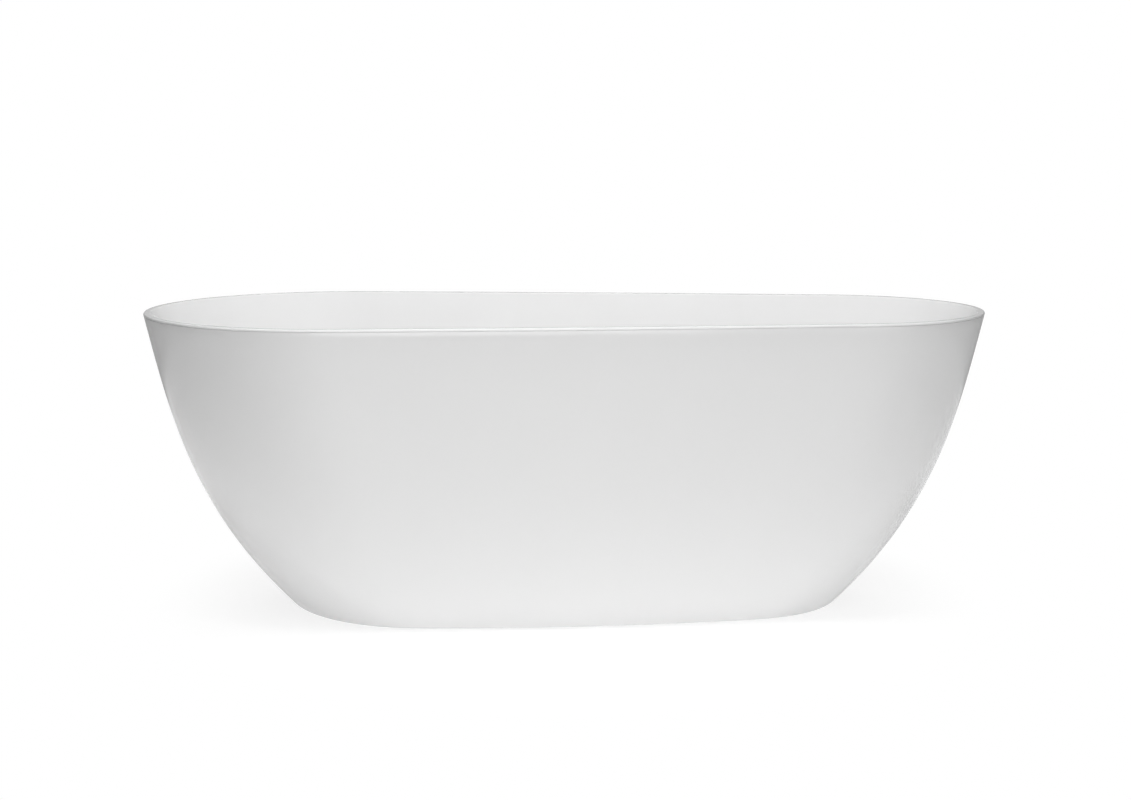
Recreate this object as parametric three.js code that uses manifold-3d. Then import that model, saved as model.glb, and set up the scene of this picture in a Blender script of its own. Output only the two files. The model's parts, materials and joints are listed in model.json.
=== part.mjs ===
// Freestanding double-skinned acrylic bathtub with its frame, levelling feet, waste, trap and overflow.
// Millimetres, +Z up. The origin is on the floor, under the middle of the tub's length.
// The head end is the wide one, at -X. The foot end is the narrow one, at +X. "near" is -Y, "far" is +Y.

import * as THREE from "three";
import { mergeVertices } from "three/addons/utils/BufferGeometryUtils.js";
import Module from "manifold-3d";

const wasm = await Module();
wasm.setup();

const { lerp } = THREE.MathUtils;
const TURN = 2 * Math.PI;

// ---- Driving dimensions ----

// Plan at the rim and at the skirt's lower edge: two end arcs joined by two long side arcs.
const LENGTH = 1650;
const HEAD_RADIUS = 375;
const FOOT_RADIUS = 292;
const SIDE_RADIUS = 14000;
const BASE_LENGTH = 1085;
const BASE_HEAD_RADIUS = 275;
const BASE_FOOT_RADIUS = 217;
const BASE_SIDE_RADIUS = 2600;

// Side view: how far the wall has flared, from 0 at the base to 1 at the rim, at a third and two thirds up.
const HEIGHT = 580;
const FLOOR_GAP = 3;
const FLARE_LOWER = 0.712;
const FLARE_UPPER = 0.839;

// Rim and outer skirt.
const RIM_WIDTH = 14;
const RIM_ROUND = 3.5;
const LIP_THICKNESS = 5;
const RIM_SEAM = 0.6;
const SKIRT_WALL = 5;
const SKIRT_EDGE_ROUND = 18;
const SKIRT_FLANGE = 45;
const BOND_DEPTH = 25;

// Inner basin. The cavity is the plan distance from the skirt's face to the basin's face, rim to floor.
const BASIN_WALL = 5;
const CAVITY_SHOULDER = 54;
const CAVITY_WAIST = 66;
const CAVITY_FLOOR = 84;
const BASIN_FLOOR = 165;
const FLOOR_THICKNESS = 10;
const FLOOR_FALL = 6;
const FILLET_RISE = 70;
const FILLET_RUN = 70;

// Board and welded frame under the basin.
const BOARD_THICKNESS = 12;
const BOARD_MARGIN = 6;
const BOARD_CLEARANCE = 12;
const FRAME_TUBE = 25;
const FRAME_TUBE_WALL = 2;
const RAIL_SPACING = 140;
const HEAD_TUBE_INSET = 152.5;
const FOOT_TUBE_INSET = 172.5;
const RAIL_OVERHANG = 40;
const MIDDLE_TUBE_X = -130;
const MIDDLE_TUBE_OVERHANG = 25;
const BRACKET_THICKNESS = 3;
const BRACKET_WIDTH = 30;
const BRACKET_FOOT = 34;
const BOARD_SCREW_HEAD_X = -320;
const BOARD_SCREW_FOOT_X = 250;
const BOARD_SCREW_RADIUS = 3;
const BOARD_SCREW_BITE = 9;
const FLANGE_SCREW_RADIUS = 2.5;
const SCREW_HEAD_RATIO = 2;
const SCREW_CROWN_RATIO = 0.8;
const SCREW_HEAD_HEIGHT = 3;

// Levelling feet.
const STUD_RADIUS = 5;
const STUD_ABOVE_TUBE = 12;
const STUD_EDGE_DISTANCE = 38;
const PAD_RADIUS = 25;
const PAD_EDGE = 5;
const PAD_BOSS_RADIUS = 9;
const PAD_HEIGHT = 18;
const PAD_SOCKET_FLOOR = 6;
const NUT_ACROSS_FLATS = 17;
const NUT_HEIGHT = 8;
const STUD_HEX_HEIGHT = 6;

// Waste and click-clack stopper, all on the vertical axis through the origin.
const DRAIN_RECESS = 4;
const FLANGE_LAND = 4;
const FLANGE_PLATE = 2.8;
const GASKET_THICKNESS = 1;
const GASKET_INSET = 1;
const THROAT_RADIUS = 20;
const WASTE_TUBE_WALL = 2;
const WASTE_TUBE_LENGTH = 47;
const SEAT_WIDTH = 9;
const SEAT_DEPTH = 2.2;
const SPIDER_HEIGHT = 10;
const SPIDER_BOSS_RADIUS = 10;
const SPOKE_WIDTH = 4;
const SPOKE_COUNT = 3;
const SPIDER_DROP = 29;
const CARTRIDGE_RADIUS = 6;
const CARTRIDGE_BORE = 5;
const CARTRIDGE_LENGTH = 42;
const CARTRIDGE_FLOOR = 3;
const CARTRIDGE_CAP = 3.7;
const CARTRIDGE_FLANGE_RADIUS = 9;
const STEM_RADIUS = 3;
const STEM_COLLAR_RADIUS = 4.6;
const STEM_COLLAR_HEIGHT = 2;
const STEM_TAIL = 12;
const SPRING_LENGTH = 16;
const SPRING_TURNS = 5;
const SPRING_WIRE = 1;
const CAP_INSET = 5.5;
const CAP_STANDOFF = 1.5;
const CAP_EDGE = 1.4;
const CAP_DOME = 3.4;
const CAP_BOSS_RADIUS = 7;
const CAP_BOSS_LENGTH = 8;
const CAP_SOCKET_ROOF = 1;
const SEAL_LAP = 4;

// Waste body and trap.
const LOWER_GASKET = 3.7;
const BODY_FLANGE_LAP = 3;
const BODY_FLANGE_HEIGHT = 6;
const BODY_SOCKET_WALL = 4.7;
const BODY_BORE_STEP = 2;
const BODY_SUMP = 5;
const OUTLET_RADIUS = 20;
const PIPE_WALL = 3;
const PORT_CLEARANCE = 1.6;
const PORT_REACH = 50;
const TRAP_RADIUS = 48;
const TRAP_WALL = 3;
const TRAP_HEADROOM = 1.1;
const TRAP_LID_THICKNESS = 4;
const TRAP_NUT_WALL = 6.7;
const TRAP_NUT_HEIGHT = 8;
const TRAP_OUTLET_DROP = 2;
const TRAP_OUTLET_REACH = 170;
const TRAP_SEAL = 17;
const DIP_CLEARANCE = 11;

// Overflow, on the near wall halfway along, and its hose to the waste body.
const OVERFLOW_BELOW_RIM = 125;
const OVERFLOW_HOLE = 24;
const COVER_LAP = 8;
const COVER_THICKNESS = 6;
const COVER_STANDOFF = 6;
const COVER_ROUND = 2;
const COVER_BOSS_RADIUS = 7;
const CUP_MARGIN = 1;
const CUP_WALL = 2;
const CUP_FLANGE_WIDTH = 6;
const CUP_FLANGE_THICKNESS = 2.5;
const OVERFLOW_GASKET = 2.5;
const OVERFLOW_SCREW_RADIUS = 2.5;
const HOSE_RADIUS = 10;
const HOSE_WALL = 2.2;
const HOSE_NUT_WALL = 2.2;
const HOSE_NUT_LENGTH = 20;

// Clearances: between pieces that seat on each other, between a screw or stud and its hole, round the
// waste in the basin, and where a flat ring lies against the curved wall.
const GAP = 0.3;
const HOLE_CLEARANCE = 0.3;
const WASTE_CLEARANCE = 1;
const WALL_RELIEF = 1;

// Small chamfers, and how far a cutter runs past the face that it opens.
const CHAMFER = 1;
const OVERRUN = 1;

// Facets.
const END_STEPS = 16;
const SIDE_STEPS = 6;
const WALL_STEPS = 7;
const ROUND_STEPS = 3;
const FILLET_STEPS = 4;
const ROUND_SEGMENTS = 20;
const SMALL_SEGMENTS = 12;
const HOSE_HALF_SIDES = 5;
const HOSE_STEPS = 32;
const SPRING_HALF_SIDES = 3;
const SPRING_STEPS_PER_TURN = 8;
const WELD = 1e-4;

// ---- Sizes and heights that follow from the driving dimensions ----

const LIP_BOTTOM = HEIGHT - LIP_THICKNESS;
const FLOOR_UNDERSIDE = BASIN_FLOOR - FLOOR_THICKNESS;
const BOARD_TOP = FLOOR_UNDERSIDE - GAP;
const RAIL_TOP = BOARD_TOP - BOARD_THICKNESS - GAP;
const CROSS_TOP = RAIL_TOP - FRAME_TUBE - GAP;
const CROSS_BOTTOM = CROSS_TOP - FRAME_TUBE;
const HEAD_TUBE_X = HEAD_TUBE_INSET - BASE_LENGTH / 2;
const FOOT_TUBE_X = BASE_LENGTH / 2 - FOOT_TUBE_INSET;
const BRACKET_SCREW_OFFSET = (BRACKET_THICKNESS + BRACKET_FOOT) / 2;
const SEAT_FLOOR = BASIN_FLOOR - DRAIN_RECESS;
const FLANGE_UNDERSIDE = SEAT_FLOOR + GASKET_THICKNESS + 2 * GAP;
const FLANGE_TOP = FLANGE_UNDERSIDE + FLANGE_PLATE;
const WASTE_TUBE_RADIUS = THROAT_RADIUS + WASTE_TUBE_WALL;
const SEAT_RADIUS = WASTE_TUBE_RADIUS + SEAT_WIDTH;
const FLANGE_RADIUS = SEAT_RADIUS + FLANGE_LAND;
const BODY_FLANGE_RADIUS = FLANGE_RADIUS + BODY_FLANGE_LAP;
const BODY_SOCKET = WASTE_TUBE_RADIUS + HOLE_CLEARANCE;
const BODY_RADIUS = BODY_SOCKET + BODY_SOCKET_WALL;
const BODY_TOP = FLOOR_UNDERSIDE - LOWER_GASKET - 2 * GAP;
const SPIDER_TOP = FLANGE_TOP - SPIDER_DROP + SPIDER_HEIGHT;
const CARTRIDGE_TOP = SPIDER_TOP + GAP + CARTRIDGE_CAP;
const CARTRIDGE_BOTTOM = CARTRIDGE_TOP - CARTRIDGE_LENGTH;
const SPRING_BOTTOM = CARTRIDGE_BOTTOM + CARTRIDGE_FLOOR + GAP;
const COLLAR_BOTTOM = SPRING_BOTTOM + SPRING_LENGTH + GAP;
const CAP_UNDERSIDE = FLANGE_TOP + CAP_STANDOFF;
const HOSE_NUT_RADIUS = HOSE_RADIUS + HOLE_CLEARANCE + HOSE_NUT_WALL;
const PORT_HEIGHT = RAIL_TOP - FRAME_TUBE - PORT_CLEARANCE - HOSE_NUT_RADIUS;
const BODY_FLOOR = PORT_HEIGHT - HOSE_RADIUS - BODY_SUMP;
const TRAP_LID_HEIGHT = BODY_FLOOR - TRAP_HEADROOM - TRAP_NUT_HEIGHT - GAP - TRAP_LID_THICKNESS;
const TRAP_OUTLET_HEIGHT = TRAP_LID_HEIGHT - TRAP_OUTLET_DROP - OUTLET_RADIUS;
const DIP_END = TRAP_OUTLET_HEIGHT - OUTLET_RADIUS + PIPE_WALL - TRAP_SEAL;
const TRAP_BOTTOM = DIP_END - DIP_CLEARANCE - TRAP_WALL;
const CUP_BORE = OVERFLOW_HOLE + CUP_MARGIN;
const CUP_RADIUS = CUP_BORE + CUP_WALL;
const CUP_FLANGE_RADIUS = CUP_RADIUS + CUP_FLANGE_WIDTH;
const HOSE_TAIL = CUP_FLANGE_RADIUS + WALL_RELIEF + HOSE_NUT_LENGTH / 2;

// ---- Finishes ----

function finish(color, roughness, metalness) {
  return new THREE.MeshStandardMaterial({ color, roughness, metalness });
}

const acrylic = () => finish(0xf3f3f2, 0.12, 0);
const adhesive = () => finish(0xd9d6cc, 0.7, 0);
const chipboard = () => finish(0xb98f5c, 0.85, 0);
const galvanised = () => finish(0x9fa3a6, 0.45, 0.9);
const zinc = () => finish(0xb9b4a2, 0.35, 0.95);
const chrome = () => finish(0xdfe1e3, 0.06, 1);
const springSteel = () => finish(0x8d9093, 0.3, 1);
const rubber = () => finish(0x1c1c1d, 0.8, 0);
const greyPlastic = () => finish(0x8e9093, 0.5, 0);
const whitePlastic = () => finish(0xe4e4e1, 0.45, 0);

// ---- Solid geometry helpers ----

function signedVolume(geometry) {
  const position = geometry.getAttribute("position");
  const index = geometry.getIndex();
  const corner = [new THREE.Vector3(), new THREE.Vector3(), new THREE.Vector3()];
  let total = 0;
  for (let i = 0; i < index.count; i += 3) {
    corner.forEach((point, k) => point.fromBufferAttribute(position, index.getX(i + k)));
    total += corner[0].dot(corner[1].cross(corner[2])) / 6;
  }
  return total;
}

// Welds shared vertices, drops triangles that have folded onto an edge, and turns the faces outward.
function closed(geometry) {
  const bare = new THREE.BufferGeometry();
  bare.setAttribute("position", geometry.getAttribute("position"));
  bare.setIndex(geometry.getIndex());
  const welded = mergeVertices(bare, WELD);
  const source = welded.getIndex().array;
  const triangles = [];
  for (let i = 0; i < source.length; i += 3) {
    const [a, b, c] = source.slice(i, i + 3);
    if (a !== b && b !== c && c !== a) triangles.push(a, b, c);
  }
  welded.setIndex(triangles);
  if (signedVolume(welded) < 0) welded.setIndex(triangles.reverse());
  welded.computeVertexNormals();
  return welded;
}

function toSolid(geometry) {
  const mesh = new wasm.Mesh({
    numProp: 3,
    vertProperties: Float32Array.from(geometry.getAttribute("position").array),
    triVerts: Uint32Array.from(geometry.getIndex().array),
  });
  return new wasm.Manifold(mesh);
}

function toGeometry(solid) {
  const mesh = solid.getMesh();
  const geometry = new THREE.BufferGeometry();
  geometry.setAttribute("position", new THREE.BufferAttribute(mesh.vertProperties, mesh.numProp));
  geometry.setIndex(Array.from(mesh.triVerts));
  return closed(geometry);
}

function cut(body, ...tools) {
  return toGeometry(tools.reduce((rest, tool) => rest.subtract(toSolid(tool)), toSolid(body)));
}

function join(body, ...others) {
  return toGeometry(others.reduce((sum, other) => sum.add(toSolid(other)), toSolid(body)));
}

// A solid of revolution about Z from [radius, height] points. An outline off the axis closes on itself.
function turned(outline, segments = ROUND_SEGMENTS) {
  const points = outline.map(([radius, height]) => new THREE.Vector2(radius, height));
  if (outline[0][0] > 0) points.push(points[0].clone());
  return closed(new THREE.LatheGeometry(points, segments).rotateX(Math.PI / 2));
}

const rod = (radius, bottom, top, segments) =>
  turned([[0, bottom], [radius, bottom], [radius, top], [0, top]], segments);

const ring = (inner, outer, bottom, top, segments) =>
  turned([[inner, bottom], [outer, bottom], [outer, top], [inner, top]], segments);

function extruded(shape, depth, curveSegments = SMALL_SEGMENTS / 2) {
  return closed(new THREE.ExtrudeGeometry(shape, { depth, bevelEnabled: false, curveSegments }));
}

function rectangle(width, height) {
  const shape = new THREE.Shape();
  shape.moveTo(-width / 2, -height / 2);
  shape.lineTo(width / 2, -height / 2);
  shape.lineTo(width / 2, height / 2);
  shape.lineTo(-width / 2, height / 2);
  return shape;
}

function circle(radius, x = 0, y = 0) {
  return new THREE.Shape().absarc(x, y, radius, 0, TURN);
}

function hexagon(acrossFlats) {
  const corner = acrossFlats / Math.sqrt(3);
  const points = Array.from({ length: 6 }, (_, k) =>
    new THREE.Vector2(corner * Math.cos((k * TURN) / 6), corner * Math.sin((k * TURN) / 6)));
  return new THREE.Shape(points);
}

function hexNut(acrossFlats, bore, height) {
  const shape = hexagon(acrossFlats);
  shape.holes.push(circle(bore));
  return extruded(shape, height);
}

function addMesh(parent, name, geometry, material, x = 0, y = 0, z = 0) {
  const mesh = new THREE.Mesh(geometry, material);
  mesh.name = name;
  mesh.position.set(x, y, z);
  parent.add(mesh);
}

// ---- The tub's egg-shaped plan and its side profile ----

const cubic = (t, a, b, c, d) =>
  a * (1 - t) ** 3 + 3 * b * t * (1 - t) ** 2 + 3 * c * t * t * (1 - t) + d * t ** 3;

const flareAt = (z) => cubic((z - FLOOR_GAP) / (HEIGHT - FLOOR_GAP), 0, FLARE_LOWER, FLARE_UPPER, 1);

const outerHalf = (z) => lerp(BASE_LENGTH, LENGTH, flareAt(z)) / 2;

const cavity = (z) =>
  cubic((HEIGHT - z) / (HEIGHT - BASIN_FLOOR), RIM_WIDTH, CAVITY_SHOULDER, CAVITY_WAIST, CAVITY_FLOOR);

const innerHalf = (z) => outerHalf(z) - cavity(z);

const slopeOf = (half, z) => half(z + 0.5) - half(z - 0.5);

// The arcs of the plan at a height, moved inward by a distance.
function planAt(z, inset) {
  const flare = flareAt(z);
  const half = outerHalf(z) - inset;
  const head = lerp(BASE_HEAD_RADIUS, HEAD_RADIUS, flare) - inset;
  const foot = lerp(BASE_FOOT_RADIUS, FOOT_RADIUS, flare) - inset;
  const side = lerp(BASE_SIDE_RADIUS, SIDE_RADIUS, flare) - inset;
  const headX = head - half;
  const footX = half - foot;
  const span = footX - headX;
  const along = ((side - head) ** 2 - (side - foot) ** 2 + span ** 2) / (2 * span);
  const sideX = headX + along;
  const sideY = -Math.sqrt((side - head) ** 2 - along ** 2);
  const headAngle = Math.atan2(-sideY, headX - sideX);
  const footAngle = Math.atan2(-sideY, footX - sideX);
  return { head, foot, side, headX, footX, sideX, sideY, headAngle, footAngle };
}

function arcPoints(x, y, radius, from, to, steps) {
  return new THREE.EllipseCurve(x, y, radius, radius, from, to).getPoints(steps).slice(1);
}

// The plan as points, anticlockwise, always the same number.
function planPoints(z, inset) {
  const plan = planAt(z, inset);
  return [
    ...arcPoints(plan.footX, 0, plan.foot, -plan.footAngle, plan.footAngle, END_STEPS),
    ...arcPoints(plan.sideX, plan.sideY, plan.side, plan.footAngle, plan.headAngle, SIDE_STEPS),
    ...arcPoints(plan.headX, 0, plan.head, plan.headAngle, TURN - plan.headAngle, END_STEPS),
    ...arcPoints(
      plan.sideX, -plan.sideY, plan.side, TURN - plan.headAngle, TURN - plan.footAngle, SIDE_STEPS),
  ];
}

// Half the plan's width at a place along the tub.
function halfWidth(z, inset, x) {
  const plan = planAt(z, inset);
  if (x < plan.headX + plan.head * Math.cos(plan.headAngle)) {
    return Math.sqrt(plan.head ** 2 - (x - plan.headX) ** 2);
  }
  if (x > plan.footX + plan.foot * Math.cos(plan.footAngle)) {
    return Math.sqrt(plan.foot ** 2 - (x - plan.footX) ** 2);
  }
  return plan.sideY + Math.sqrt(plan.side ** 2 - (x - plan.sideX) ** 2);
}

// Sweeps a section round the plan. A section point is (half-length, height): the plan at that height is
// moved in until it is that long. A section either closes on itself or starts and ends on the axis.
function swept(section) {
  const positions = [];
  const rings = section.map((point) => {
    const inset = outerHalf(point.y) - point.x;
    const outline = point.x > 0 ? planPoints(point.y, inset) : [new THREE.Vector2()];
    const first = positions.length / 3;
    outline.forEach((p) => positions.push(p.x, p.y, point.y));
    return outline.map((_, k) => first + k);
  });
  if (section[0].x > 0) rings.push(rings[0]);
  const triangles = [];
  for (let i = 1; i < rings.length; i += 1) {
    const [lower, upper] = [rings[i - 1], rings[i]];
    const count = Math.max(lower.length, upper.length);
    for (let k = 0; k < count; k += 1) {
      const a = lower[k % lower.length];
      const b = lower[(k + 1) % lower.length];
      const c = upper[(k + 1) % upper.length];
      const d = upper[k % upper.length];
      triangles.push(a, b, c, a, c, d);
    }
  }
  const geometry = new THREE.BufferGeometry();
  geometry.setAttribute("position", new THREE.Float32BufferAttribute(positions, 3));
  geometry.setIndex(triangles);
  return closed(geometry);
}

// A section line moved sideways, to its left when followed in order.
function offsetLine(points, distance) {
  return points.map((point, i) => {
    const before = points[Math.max(i - 1, 0)];
    const after = points[Math.min(i + 1, points.length - 1)];
    const along = after.clone().sub(before).normalize();
    return new THREE.Vector2(point.x - along.y * distance, point.y + along.x * distance);
  });
}

// Points down a wall, from one height to another, both included.
function wallLine(half, from, to, steps) {
  return Array.from({ length: steps + 1 }, (_, k) => {
    const z = lerp(from, to, k / steps);
    return new THREE.Vector2(half(z), z);
  });
}

// A curve from a wall's lower end that leaves along the wall and lands flat on a floor.
function filletLine(wallEnd, slope, floor, run) {
  const corner = new THREE.Vector2(wallEnd.x - slope * (wallEnd.y - floor), floor);
  const landing = new THREE.Vector2(corner.x - run, floor);
  return new THREE.QuadraticBezierCurve(wallEnd, corner, landing).getPoints(FILLET_STEPS).slice(1);
}

// ---- The two skins ----

const FILLET_TOP = BASIN_FLOOR + FLOOR_FALL + FILLET_RISE;
const FILLET_SLOPE = slopeOf(innerHalf, FILLET_TOP);
const FLOOR_HALF = innerHalf(FILLET_TOP) - FILLET_SLOPE * FILLET_RISE - FILLET_RUN;

function basinSection() {
  const rim = outerHalf(HEIGHT);
  const outerLean = Math.atan(slopeOf(outerHalf, HEIGHT - 1));
  const innerLean = Math.atan(slopeOf(innerHalf, HEIGHT - 1));
  const outerCentre = rim - RIM_ROUND / Math.tan((Math.PI / 2 - outerLean) / 2);
  const innerCentre = rim - RIM_WIDTH + RIM_ROUND / Math.tan((Math.PI / 2 + innerLean) / 2);
  const roundZ = HEIGHT - RIM_ROUND;
  const outerEdge = new THREE.EllipseCurve(
    outerCentre, roundZ, RIM_ROUND, RIM_ROUND, TURN - outerLean, TURN + Math.PI / 2);
  const innerEdge = new THREE.EllipseCurve(
    innerCentre, roundZ, RIM_ROUND, RIM_ROUND, Math.PI / 2, Math.PI - innerLean);
  const wall = wallLine(innerHalf, LIP_BOTTOM - RIM_ROUND, FILLET_TOP, WALL_STEPS);
  const wallEnd = wall[wall.length - 1];
  const face = [
    ...outerEdge.getPoints(ROUND_STEPS),
    ...innerEdge.getPoints(ROUND_STEPS),
    ...wall,
    ...filletLine(wallEnd, FILLET_SLOPE, BASIN_FLOOR + FLOOR_FALL, FILLET_RUN),
  ];
  const back = offsetLine(wall, BASIN_WALL);
  const backEnd = back[back.length - 1];
  const backRun = backEnd.x - FILLET_SLOPE * (backEnd.y - FLOOR_UNDERSIDE) - FLOOR_HALF;
  const underside = [
    new THREE.Vector2(outerHalf(LIP_BOTTOM), LIP_BOTTOM),
    new THREE.Vector2(back[0].x + slopeOf(innerHalf, LIP_BOTTOM) * (LIP_BOTTOM - back[0].y), LIP_BOTTOM),
    ...back,
    ...filletLine(backEnd, FILLET_SLOPE, FLOOR_UNDERSIDE, backRun),
  ];
  const topCentre = new THREE.Vector2(0, BASIN_FLOOR);
  const bottomCentre = new THREE.Vector2(0, FLOOR_UNDERSIDE);
  return [topCentre, ...face.reverse(), ...underside, bottomCentre];
}

function drainCutter() {
  const recess = FLANGE_RADIUS + WASTE_CLEARANCE;
  const hole = WASTE_TUBE_RADIUS + WASTE_CLEARANCE;
  const above = BASIN_FLOOR + FLOOR_FALL;
  const below = FLOOR_UNDERSIDE - OVERRUN;
  return turned([
    [0, below],
    [hole, below],
    [hole, SEAT_FLOOR],
    [recess, SEAT_FLOOR],
    [recess, above],
    [0, above],
  ]);
}

function makeBasin() {
  const overflowCutter = rod(OVERFLOW_HOLE, -2 * BASIN_WALL, 2 * BASIN_WALL).applyMatrix4(OVERFLOW_PLACE);
  return cut(swept(basinSection()), drainCutter(), overflowCutter);
}

function skirtSection() {
  const lean = Math.atan(slopeOf(outerHalf, FLOOR_GAP));
  const base = outerHalf(FLOOR_GAP);
  const centreX = base - SKIRT_EDGE_ROUND / Math.tan((Math.PI / 2 + lean) / 2);
  const centreZ = FLOOR_GAP + SKIRT_EDGE_ROUND;
  const edge = new THREE.EllipseCurve(
    centreX, centreZ, SKIRT_EDGE_ROUND, SKIRT_EDGE_ROUND, -Math.PI / 2, -lean).getPoints(ROUND_STEPS);
  const edgeTop = edge[edge.length - 1].y;
  const top = LIP_BOTTOM - RIM_SEAM;
  const face = [
    new THREE.Vector2(base - SKIRT_FLANGE, FLOOR_GAP),
    ...edge,
    ...wallLine(outerHalf, edgeTop + SKIRT_EDGE_ROUND, top, WALL_STEPS + 2),
  ];
  const back = offsetLine(face, SKIRT_WALL);
  back[back.length - 1] = new THREE.Vector2(outerHalf(top) - SKIRT_WALL, top);
  return [...face, ...back.reverse()];
}

// The adhesive that fills the gap between the skins under the lip.
function rimBondSection() {
  const top = LIP_BOTTOM - GAP;
  const bottom = top - BOND_DEPTH;
  const outside = (z) => outerHalf(z) - SKIRT_WALL - 2 * GAP;
  const inside = (z) => innerHalf(z) + BASIN_WALL / Math.cos(Math.atan(slopeOf(innerHalf, z))) + 2 * GAP;
  return [
    new THREE.Vector2(inside(bottom), bottom),
    new THREE.Vector2(outside(bottom), bottom),
    new THREE.Vector2(outside(top - RIM_SEAM), top - RIM_SEAM),
    new THREE.Vector2(inside(top - RIM_SEAM), top - RIM_SEAM),
  ];
}

// ---- Board and frame ----

const railY = RAIL_SPACING / 2;
const SIDES = [["near", -1], ["far", 1]];
const SCREW_STATIONS = [["head", BOARD_SCREW_HEAD_X], ["foot", BOARD_SCREW_FOOT_X]];
const FOOT_STATIONS = [["head", HEAD_TUBE_X], ["foot", FOOT_TUBE_X]];

// How far a cross tube reaches each way before it meets the skirt's turned-in flange.
const crossTubeReach = (x) => halfWidth(FLOOR_GAP, SKIRT_FLANGE, x) - BRACKET_THICKNESS - 2 * GAP;

function makeBoard() {
  const inset = outerHalf(FLOOR_UNDERSIDE) - FLOOR_HALF + BOARD_MARGIN;
  const shape = new THREE.Shape(planPoints(FLOOR_UNDERSIDE, inset));
  shape.holes.push(circle(BODY_FLANGE_RADIUS + BOARD_CLEARANCE));
  const pilot = BOARD_SCREW_RADIUS + HOLE_CLEARANCE;
  SCREW_STATIONS.forEach(([, x]) => SIDES.forEach(([, side]) => {
    shape.holes.push(circle(pilot, x, side * railY));
  }));
  return extruded(shape, BOARD_THICKNESS);
}

function squareTube(length) {
  const shape = rectangle(FRAME_TUBE, FRAME_TUBE);
  shape.holes.push(rectangle(FRAME_TUBE - 2 * FRAME_TUBE_WALL, FRAME_TUBE - 2 * FRAME_TUBE_WALL));
  return extruded(shape, length).translate(0, 0, -length / 2);
}

function drilled(tube, radius, places) {
  const drill = () => rod(radius, -FRAME_TUBE, FRAME_TUBE, SMALL_SEGMENTS);
  return cut(tube, ...places.map(([x, y]) => drill().translate(x, y, 0)));
}

function addRails(parent) {
  const length = FOOT_TUBE_X - HEAD_TUBE_X + 2 * RAIL_OVERHANG;
  const middle = (FOOT_TUBE_X + HEAD_TUBE_X) / 2;
  const z = RAIL_TOP - FRAME_TUBE / 2;
  const holes = SCREW_STATIONS.map(([, x]) => [x - middle, 0]);
  SIDES.forEach(([side, sign]) => {
    const tube = squareTube(length).rotateY(Math.PI / 2);
    const pierced = drilled(tube, BOARD_SCREW_RADIUS + HOLE_CLEARANCE, holes);
    addMesh(parent, `frame_rail_${side}`, pierced, galvanised(), middle, sign * railY, z);
  });
}

function addCrossTubes(parent) {
  const z = CROSS_TOP - FRAME_TUBE / 2;
  FOOT_STATIONS.forEach(([end, x]) => {
    const reach = crossTubeReach(x);
    const studY = reach - STUD_EDGE_DISTANCE;
    const tube = squareTube(2 * reach).rotateX(-Math.PI / 2);
    const pierced = drilled(tube, STUD_RADIUS + HOLE_CLEARANCE, [[0, -studY], [0, studY]]);
    addMesh(parent, `cross_tube_${end}`, pierced, galvanised(), x, 0, z);
  });
  const length = RAIL_SPACING + FRAME_TUBE + 2 * MIDDLE_TUBE_OVERHANG;
  const middle = squareTube(length).rotateX(-Math.PI / 2);
  addMesh(parent, "cross_tube_middle", middle, galvanised(), MIDDLE_TUBE_X, 0, z);
}

// A pan-head screw with its head's underside at zero and its shank pointing up.
function screwUp(radius, length) {
  const head = radius * SCREW_HEAD_RATIO;
  const outline = [
    [0, -SCREW_HEAD_HEIGHT],
    [head * SCREW_CROWN_RATIO, -SCREW_HEAD_HEIGHT],
    [head, -SCREW_HEAD_HEIGHT / 2],
    [head, 0],
    [radius, 0],
    [radius, length - radius],
    [0, length],
  ];
  return turned(outline, SMALL_SEGMENTS);
}

function addBoardScrews(parent) {
  const seat = RAIL_TOP - FRAME_TUBE - GAP;
  const length = BOARD_TOP - BOARD_THICKNESS + BOARD_SCREW_BITE - seat;
  SCREW_STATIONS.forEach(([end, x]) => SIDES.forEach(([side, sign]) => {
    const screw = screwUp(BOARD_SCREW_RADIUS, length);
    addMesh(parent, `board_screw_${end}_${side}`, screw, zinc(), x, sign * railY, seat);
  }));
}

// An L-shaped strip: the upright is welded to the cross tube's end, the foot lies on the skirt's flange.
function makeBracket(sign) {
  const bottom = FLOOR_GAP + SKIRT_WALL + GAP;
  const shape = new THREE.Shape();
  shape.moveTo(0, bottom);
  shape.lineTo(sign * BRACKET_FOOT, bottom);
  shape.lineTo(sign * BRACKET_FOOT, bottom + BRACKET_THICKNESS);
  shape.lineTo(sign * BRACKET_THICKNESS, bottom + BRACKET_THICKNESS);
  shape.lineTo(sign * BRACKET_THICKNESS, CROSS_TOP);
  shape.lineTo(0, CROSS_TOP);
  const strip = extruded(shape, BRACKET_WIDTH).translate(0, 0, -BRACKET_WIDTH / 2);
  const turnedUp = strip.rotateX(Math.PI / 2).rotateZ(Math.PI / 2);
  const hole = rod(FLANGE_SCREW_RADIUS + HOLE_CLEARANCE, 0, bottom + FRAME_TUBE, SMALL_SEGMENTS);
  return cut(turnedUp, hole.translate(0, sign * BRACKET_SCREW_OFFSET, 0));
}

function addBrackets(parent) {
  const seat = FLOOR_GAP + SKIRT_WALL + BRACKET_THICKNESS + 2 * GAP;
  FOOT_STATIONS.forEach(([end, x]) => SIDES.forEach(([side, sign]) => {
    const y = sign * (crossTubeReach(x) + GAP);
    addMesh(parent, `skirt_bracket_${end}_${side}`, makeBracket(sign), galvanised(), x, y, 0);
    const screw = screwUp(FLANGE_SCREW_RADIUS, SKIRT_WALL + BRACKET_THICKNESS).rotateX(Math.PI);
    addMesh(parent, `skirt_screw_${end}_${side}`, screw, zinc(), x, y + sign * BRACKET_SCREW_OFFSET, seat);
  }));
}

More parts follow.
